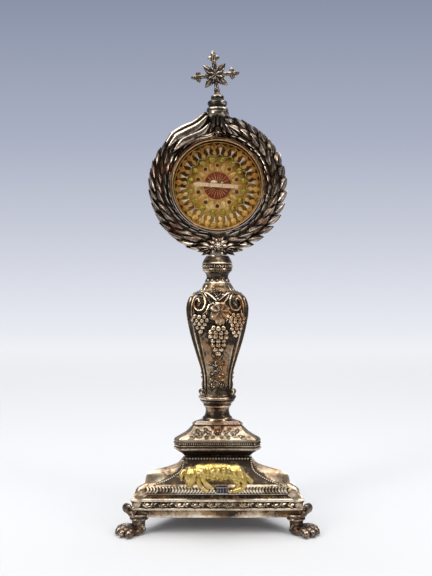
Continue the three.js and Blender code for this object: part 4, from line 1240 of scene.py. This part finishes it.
def gilt_paper(name, light, mid, deep, metal=0.25, gloss=0.35, fine=420):
    """Gilt and tinted paper, darker towards the top of the case."""
    finish, tone = new_finish(name, {"Metallic": metal, "Specular IOR Level": 0.1})
    # The paper darkens towards the top of the case and lightens towards the bottom.
    darker_upward = (tone.place(2) - window_centre) * 16
    speck, cloud = tone.noise(fine, 3, 0.65), tone.noise(95)
    dark = tone.layer("hollow") * 1.8 + darker_upward + tone.layer("tarnish_and_shade")
    dark = dark + (speck - 0.5) * 1.3 + (cloud - 0.5) * 1.7
    tint = dark.between(-0.7, 0.25).blend(light, mid)
    tint = dark.between(0.15, 1.1).blend(tint, deep)
    return joined(finish, {"Base Color": tint, "Roughness": speck * 0.25 + gloss, "Normal": speck.rough()})


def edge_browned(spots):
    """The ground is pale between the sunburst and the bosses, and brown out by the rim."""
    radius = np.hypot(spots[:, 0], spots[:, 2] - window_middle)
    return np.interp(radius, [10, 13, 19, 21, 24, 31], [0.3, 0.05, 0.2, 0.6, 0.9, 0.9])


ground_finish = gilt_paper("ground_gilding", (0.90, 0.66, 0.25), (0.46, 0.24, 0.04), (0.085, 0.03, 0.005),
                           0.1, 0.5, 520)
ground_piece = seasoned(ground.made("relic_ground"), 2.5, edge_browned)
dressed(ground_piece, ground_finish, "relic_ground", "relic_board")

petals = Casting()
for i in range(36):
    turn = i * 10 + 5
    at = on_board(25.4, turn, 0.05 + 0.25 * (i % 2))
    petals.leaf(5.8, 3.9, 1.0, facing(at, along(turn), towards), steps=8, veins=2)
petal_finish = gilt_paper("petal_amber", (0.92, 0.60, 0.17), (0.60, 0.28, 0.045), (0.13, 0.045, 0.008),
                          0.1, 0.45, 520)
dressed(seasoned(petals.made("amber_petals"), 2.4), petal_finish, "relic_ground")

cream = Casting()
for count, first, radius, length, rise in ((18, 15, 21.6, 4.6, 0.9), (20, 0, 11.2, 5.6, 0.8)):
    for i in range(count):
        turn = first + i * 360 / count
        cream.leaf(length, 2.9, rise, facing(on_board(radius, turn, 0.2), along(turn), towards), steps=7)
cream_finish = gilt_paper("cream_paper", (0.93, 0.76, 0.42), (0.62, 0.38, 0.14), (0.20, 0.085, 0.02),
                          0.0, 0.5)
dressed(seasoned(cream.made("cream_leaves"), 2.0), cream_finish, "relic_ground")

quilling = Casting()
scallop_turns = [i * 20 + 5 for i in range(18)]
for turn in scallop_turns:
    outer = [on_board(29.6 - 3.0 * t * t, turn + 9.2 * t, 0.5) for t in np.linspace(-1, 1, 11)]
    inner = [on_board(21.0 + 2.2 * t * t, turn + 10 + 9.4 * t, 0.55) for t in np.linspace(-1, 1, 9)]
    quilling.tube(outer, 0.18, 6)
    quilling.tube(inner, 0.16, 6)
for radius, rise in ((10.3, 0.5), (31.0, 0.6)):
    quilling.tube([on_board(radius, turn, rise) for turn in np.linspace(0, 360, 97)], 0.3, 6)
for i in range(44):
    quilling.ball(on_board(11.2, i * 360 / 44, 0.5), (0.55, 0.5, 0.55), fine=1)
gem_ring, gem_turns = 14.6, [i * 36 + 90 for i in range(10)]
boss_ring, boss_turns = 19.2, [i * 22.5 + 11.25 for i in range(16)]
for turn in gem_turns:
    collet = [on_board(gem_ring, turn, 0.55) + Vector((1.75 * math.cos(t), 0, 1.75 * math.sin(t)))
              for t in np.linspace(0, 2 * math.pi, 15)]
    quilling.tube(collet, 0.28, 6)
for turn in boss_turns:
    quilling.ball(on_board(boss_ring, turn, 0.5) + Vector((0.3, -1.2, 0.6)), (0.5, 0.3, 0.5), fine=1)
gold_wire, tone = new_finish("gold_wire", {"Metallic": 0.7})
worn = tone.noise(300, 3, 0.6)
gold = (worn + tone.layer("hollow") * 0.7).between(0.35, 0.95).blend((0.85, 0.58, 0.18), (0.30, 0.14, 0.02))
joined(gold_wire, {"Base Color": gold, "Roughness": worn * 0.3 + 0.22})
dressed(seasoned(quilling.made("gold_quilling"), 1.2), gold_wire, "relic_ground")

bosses = Casting()
for turn in boss_turns:
    bosses.ball(on_board(boss_ring, turn, 0.6), (2.2, 1.2, 2.2), fine=3)
for turn in boss_turns:
    for near in (-4.4, 4.4):
        bosses.ball(on_board(22.2, turn + near, 0.4), (0.8, 0.5, 0.8))


def bead_glass(name, light, deep, gloss, metal=0.0):
    """Small polished beads with painted shade towards their rims, where they turn away from view."""
    finish, tone = new_finish(name, {"Metallic": metal, "Specular IOR Level": 0.25,
                                     "Coat Weight": 0.2, "Coat Roughness": 0.08})
    swirl = tone.noise(650, 2, 0.5)
    edge = tone.node("ShaderNodeLayerWeight", None, {"Blend": 0.4}, 1)
    # Painted shade: the colour deepens as a bead's surface turns away from view.
    tint = (swirl.between(0.35, 0.7) * 0.8 + edge * 0.4).blend(light, deep)
    return joined(finish, {"Base Color": tint, "Roughness": swirl * 0.2 + gloss})


olive = bead_glass("olive_glass", (0.50, 0.38, 0.045), (0.10, 0.075, 0.008), 0.2, 0.1)
dressed(bosses.made("green_bosses"), olive, "relic_ground")

gems = Casting()
for turn in gem_turns:
    gems.ball(on_board(gem_ring, turn, 0.7), (1.45, 1.0, 1.45), fine=3)
garnet = bead_glass("garnet_glass", (0.15, 0.03, 0.01), (0.03, 0.006, 0.003), 0.25)
dressed(gems.made("red_gems"), garnet, "relic_ground")

drops = Casting()
for turn in scallop_turns:
    for reach, size in ((24.2, 0.45), (25.0, 0.72), (25.9, 0.95), (26.7, 0.95)):
        drops.ball(on_board(reach, turn, 0.85), (size, size * 0.8, size))
    stalk = [on_board(reach, turn, rise) for reach, rise in ((22.4, 0.6), (23.6, 0.8), (24.6, 0.85))]
    drops.tube(stalk, [0.2, 0.3, 0.4])
pearl, tone = new_finish("pearl_white", {"Specular IOR Level": 0.4, "Coat Weight": 0.15})
milky = tone.noise(500, 2, 0.5)
joined(pearl, {"Base Color": milky.between(0.3, 0.7).blend((0.93, 0.87, 0.76), (0.50, 0.41, 0.30)),
               "Roughness": milky * 0.15 + 0.12})
dressed(drops.made("white_drops"), pearl, "relic_ground")

sun = Casting()
sun.loft([[on_board(radius, turn, out) for turn in np.linspace(0, 360, 96, endpoint=False)]
          for radius, out in ((10.4, -0.2), (10.4, 0.35), (9.8, 0.55), (6.0, 0.9), (2.5, 1.2), (0.1, 1.3))])
red_paper = gilt_paper("red_paper", (0.38, 0.085, 0.05), (0.19, 0.030, 0.018), (0.07, 0.010, 0.007),
                       0.0, 0.5, 700)
dressed(seasoned(sun.made("red_sunburst"), 1.5), red_paper, "relic_ground")

rays = Casting()
for i in range(24):
    turn = i * 15 + 3 * math.sin(5 * i)
    tip = 8.6 + 1.2 * math.sin(3 * i)
    ray = [on_board(reach, turn, rise) for reach, rise in ((3.0, 1.2), (6.5, 0.92), (tip, 0.72))]
    rays.tube(ray, [0.07, 0.16, 0.12], 6)
    rays.ball(on_board(10.1, turn, 0.6), (0.35, 0.3, 0.35), fine=1)
dressed(seasoned(rays.made("gold_rays"), 1.0), gold_wire, "relic_ground")

label_low, label_high = span("relic_label")
label = Casting()
slant = math.atan2(label_high.z - label_low.z - 2.7, label_high.x - label_low.x)
label_middle = (label_low + label_high) / 2
label_place = Matrix.Translation(label_middle) @ Matrix.Rotation(slant, 4, "Y")
half_long, half_tall = (label_high.x - label_low.x) / 2 - 0.1, 1.55


def ripple(share):
    """How far the paper lifts along its length, from -1 at one end to 1 at the other."""
    return 0.12 * math.cos(5 * share) - 0.05


strip = []
for share in np.linspace(-1, 1, 49):
    edge = half_tall * (1 + 0.05 * math.sin(17 * share)) * np.interp(share, [-1, -0.8], [0.3, 1])
    strip.append([(share * half_long, ripple(share) + thick, side * edge)
                  for thick, side in ((-0.12, -1), (0.1, -1), (0.1, 1), (-0.12, 1))])
label.loft(strip, label_place)
aged_paper, tone = new_finish("aged_paper")
fibre = tone.noise(900, 4, 0.7, (1, 1, 2.5))
foxing = tone.noise(180)
tint = fibre.between(0.3, 0.75).blend((0.92, 0.70, 0.44), (0.74, 0.48, 0.26))
tint = (foxing.between(0.55, 0.75) * 0.6).blend(tint, (0.50, 0.27, 0.11))
joined(aged_paper, {"Base Color": tint, "Roughness": fibre * 0.2 + 0.6, "Normal": fibre.rough(0.5, 0.00005)})
dressed(label.made("paper_label"), aged_paper, "label_paper", "relic_label")

# Two lines of plain strokes in groups of five, a brown line along both edges and two across.
marks = Casting()
for row in (-0.45, 0.35):
    x, step = -0.86 * half_long, 0
    while x < 0.86 * half_long:
        tall = 0.28 + 0.22 * abs(math.sin(2.7 * step + row * 5))
        lift = ripple(x / half_long) - 0.16
        marks.tube([(x, lift, row - tall / 2), (x + 0.16, lift, row + tall / 2)], 0.07, 5, label_place)
        x += 0.62 + 0.7 * (step % 5 == 4)
        step += 1
for share in (-0.3, 0.3):
    marks.tube([(share * half_long, -0.2, end * half_tall) for end in (-1, 1)], 0.16, 6, label_place)
for edge in (-1, 1):
    marks.tube([(share * half_long, ripple(share) - 0.15, edge * half_tall * 0.94)
                for share in np.linspace(-0.78, 0.98, 40)], 0.11, 6, label_place)
ink, tone = new_finish("brown_ink")
faded = tone.noise(400)
joined(ink, {"Base Color": faded.blend((0.20, 0.08, 0.035), (0.34, 0.17, 0.08)),
             "Roughness": faded * 0.2 + 0.6})
dressed(marks.made("label_strokes"), ink, "label_paper")

relic = Casting()
relic.ball((label_middle.x - 1.2, ground_depth - 1.5, window_middle + 2.6), (2.4, 0.9, 1.3), fine=3)
relic.ball((label_middle.x + 4.6, ground_depth - 1.4, window_middle + 2.0), (1.0, 0.7, 0.7), fine=3)
relic_finish = bead_glass("relic_bone", (0.96, 0.88, 0.70), (0.80, 0.62, 0.36), 0.3)
dressed(relic.made("relic_fragment"), relic_finish, "relic_ground")

glass_low, glass_high = span("case_glass")
pane = Casting()
pane_radius = (glass_high.x - glass_low.x) / 2
from_front(pane, [
    (0.05, glass_low.y), (pane_radius * 0.5, glass_low.y), (pane_radius - 0.3, glass_low.y),
    (pane_radius, glass_low.y + 0.3), (pane_radius, glass_high.y - 0.3),
    (pane_radius - 0.3, glass_high.y), (0.05, glass_high.y)])
clear_glass, tone = new_finish("clear_glass", {
    "Base Color": (1, 1, 1, 1), "Transmission Weight": 1, "IOR": 1.12})
joined(clear_glass, {"Roughness": tone.noise(50) * 0.04})
dressed(pane.made("window_pane"), clear_glass, "window_glass", "case_glass")

# Finial. A turned socket over the crown of the wreath, and a small cast cross with budded arms,
# pointed leaves between them and a flower at the middle. It has been knocked a little askew.

socket_low, socket_high = span("finial_socket")
socket = Casting()
socket.turned([
    (0.1, socket_low.z), (8.4, socket_low.z), (8.3, 292.2), (8.0, 293.0), (7.5, 293.6), (7.8, 294.2),
    (7.9, 294.8), (7.5, 295.5), (6.7, 296.0), (6.2, 296.6), (6.2, 297.3), (6.6, 297.8), (7.0, 298.5),
    (7.1, 299.4), (6.8, 300.2), (6.3, 300.7), (5.3, 301.1), (4.8, 301.7), (4.5, 302.4), (4.5, 303.0),
    (4.7, 303.5), (4.6, 304.1), (4.4, socket_high.z), (0.1, socket_high.z)], 72)
cross_silver = old_silver("cross_silver", (0.74, 0.62, 0.49), (0.13, 0.105, 0.083), (0.015, 0.012, 0.010),
                          0.1, 0.2, 1.3)
socket_piece = seasoned(socket.made("finial_socket_cast"), 2.2, turned_tarnish)
dressed(socket_piece, cross_silver, "cross_silver", "finial_socket")

cross_low = span("finial_cross")[0]
cross = Casting()
lean = math.radians(-6)
heart = 14.6  # the middle of the cross, over the foot of its stem
cross_place = (Matrix.Translation((0, 0, cross_low.z)) @ Matrix.Rotation(lean, 4, "Y")
               @ Matrix.Translation((0, 0, heart)) @ Matrix.Rotation(math.radians(90), 4, "X"))
for turn, reach in ((0, 15.2), (90, 15.4), (180, 15.2)):
    arm = cross_place @ Matrix.Rotation(math.radians(turn), 4, "Z")
    along_arm = [(out, 0, 0) for out in (2, reach * 0.5, reach - 2.6, reach - 0.5)]
    cross.tube(along_arm, [2.0, 1.6, 1.7, 1.4], 10, arm)
    cross.tube([(reach * 0.46, -1.7, 0), (reach * 0.46, 1.7, 0)], 0.85, place=arm)
    cross.ball((reach, 0, 0), (1.85, 1.75, 1.6), arm, 3)
    cross.ball((reach - 1.4, 0, 0.4), (1.4, 1.4, 1.5), arm, 3)
    for side in (-1, 1):
        cross.ball((reach - 3.1, side * 2.35, 0), (1.75, 1.75, 1.5), arm, 3)
        cross.ball((reach - 3.1, side * 4.0, 0), 0.7, arm)
    cross.ball((reach + 1.7, 0, 0), (0.8, 0.75, 0.75), arm)
cross.tube([(0, drop, 0) for drop in (-2, -7, -9.4, -10.4, -12.4, 0.3 - heart)],
           [1.7, 1.5, 1.6, 2.2, 1.9, 3.0], 14, cross_place)
for turn in (45, 135, 225, 315):
    for shift, length, width in ((0, 11.8, 5.4), (-15, 8.6, 3.2), (15, 8.6, 3.2)):
        spin = cross_place @ Matrix.Rotation(math.radians(turn + shift), 4, "Z")
        cross.leaf(length, width, 1.7, spin, steps=10)
for count, reach, wide, height in ((8, 5.8, 3.0, 0.9), (6, 3.8, 2.6, 1.7)):
    for petal in range(count):
        spin = (cross_place @ Matrix.Rotation(2 * math.pi * (petal + 0.5) / count, 4, "Z")
                @ Matrix.Translation((0, 0, height)) @ Matrix.Rotation(math.radians(-14), 4, "Y"))
        cross.leaf(reach, wide, 1.2, spin, steps=8)
cross.ball((0, 0, 2.3), (1.25, 1.25, 1.0), cross_place, 3)
cross.ball((0, 0, 0), (3.2, 3.2, 1.5), cross_place, 3)
cross_piece = cross.made("finial_cross_cast", remesh=0.26, smooth=1)
for vertex in cross_piece.data.vertices:
    vertex.co.z = max(vertex.co.z, cross_low.z / 1000)
dressed(seasoned(cross_piece, 2.0), cross_silver, "cross_silver", "finial_cross")

# Studio. A pale sweep that runs from the floor up behind the piece, large soft lights above and
# at both sides, and a camera at table height in front.

sweep_mesh = bpy.data.meshes.new("studio_sweep")
wall_depth, bend = 2.0, 0.25
profile = [(-3.0, 0.0), (-1.0, 0.0), (0.3, 0.0), (1.2, 0.0)]
for t in np.linspace(0, math.pi / 2, 24):
    profile.append((wall_depth - bend + bend * math.sin(t), bend * (1 - math.cos(t))))
profile.append((wall_depth, 3.0))
points = [(x, y, z) for y, z in profile for x in (-3.2, 3.2)]
faces = [(2 * i, 2 * i + 1, 2 * i + 3, 2 * i + 2) for i in range(len(profile) - 1)]
sweep_mesh.from_pydata(points, [], faces)
sweep_mesh.shade_smooth()
sweep = bpy.data.objects.new("studio_sweep", sweep_mesh)
bpy.context.scene.collection.objects.link(sweep)
paper, tone = new_finish("sweep_paper_painted_glow", {
    "Roughness": 0.9, "Specular IOR Level": 0, "Emission Strength": 1.0})
# Painted light: the floor further back and the wall are a painted glow, bright low down and darker and bluer
# higher up. The near floor takes the lamps' light and has a faint painted glow that lightens the shade under
# the piece.
away, height = tone.place(1), tone.place(2)
wall = (0.80, 0.82, 0.88)
for low, high, colour in ((0.0, 0.30, (0.585, 0.61, 0.70)), (0.30, 0.62, (0.400, 0.435, 0.545)),
                          (0.62, 1.10, (0.245, 0.280, 0.385))):
    wall = height.between(low, high, "LINEAR").blend(wall, colour)
painted_glow = away.between(0.4, 2.0).blend((0.925, 0.935, 0.965), wall)
glow_share = away.between(0.15, 1.25)
joined(paper, {"Base Color": glow_share.blend((0.58, 0.585, 0.595), (0, 0, 0)),
               "Emission Color": glow_share.blend((0.04, 0.04, 0.043), painted_glow)})
sweep_mesh.materials.append(paper)


def soft_light(name, at, target, size, power, colour):
    lamp = bpy.data.lights.new(name, "AREA")
    lamp.shape, lamp.size, lamp.size_y = "RECTANGLE", size[0], size[1]
    lamp.energy, lamp.color = power, colour
    holder = bpy.data.objects.new(name, lamp)
    bpy.context.scene.collection.objects.link(holder)
    holder.location = at
    holder.rotation_euler = (Vector(target) - Vector(at)).to_track_quat("-Z", "Y").to_euler()


soft_light("top_wide", (0, 0.0, 1.5), (0, 0, 0), (2.2, 1.8), 42, (1.0, 1.0, 1.0))
warm = (1.0, 0.95, 0.88)
soft_light("key_left", (-1.0, -0.9, 0.9), (0, 0, 0.2), (0.35, 0.7), 7, warm)
soft_light("fill_right", (1.1, -0.8, 0.7), (0, 0, 0.2), (0.3, 0.7), 4, warm)

world = bpy.data.worlds.new("studio_air")
world.use_nodes = True
air = world.node_tree.nodes["Background"].inputs
air["Color"].default_value = (0.96, 0.98, 1.0, 1)
air["Strength"].default_value = 0.2
bpy.context.scene.world = world
bpy.context.scene.view_settings.view_transform = "Standard"

camera_data = bpy.data.cameras.new("front_camera")
camera_data.sensor_width = 36
camera_data.lens = 48.75
camera = bpy.data.objects.new("front_camera", camera_data)
bpy.context.scene.collection.objects.link(camera)
camera.location = (-0.001, stem_axis.y - 0.5616, 0.180)
camera.rotation_euler = (math.radians(90 - 1.32), 0, 0)
bpy.context.scene.camera = camera
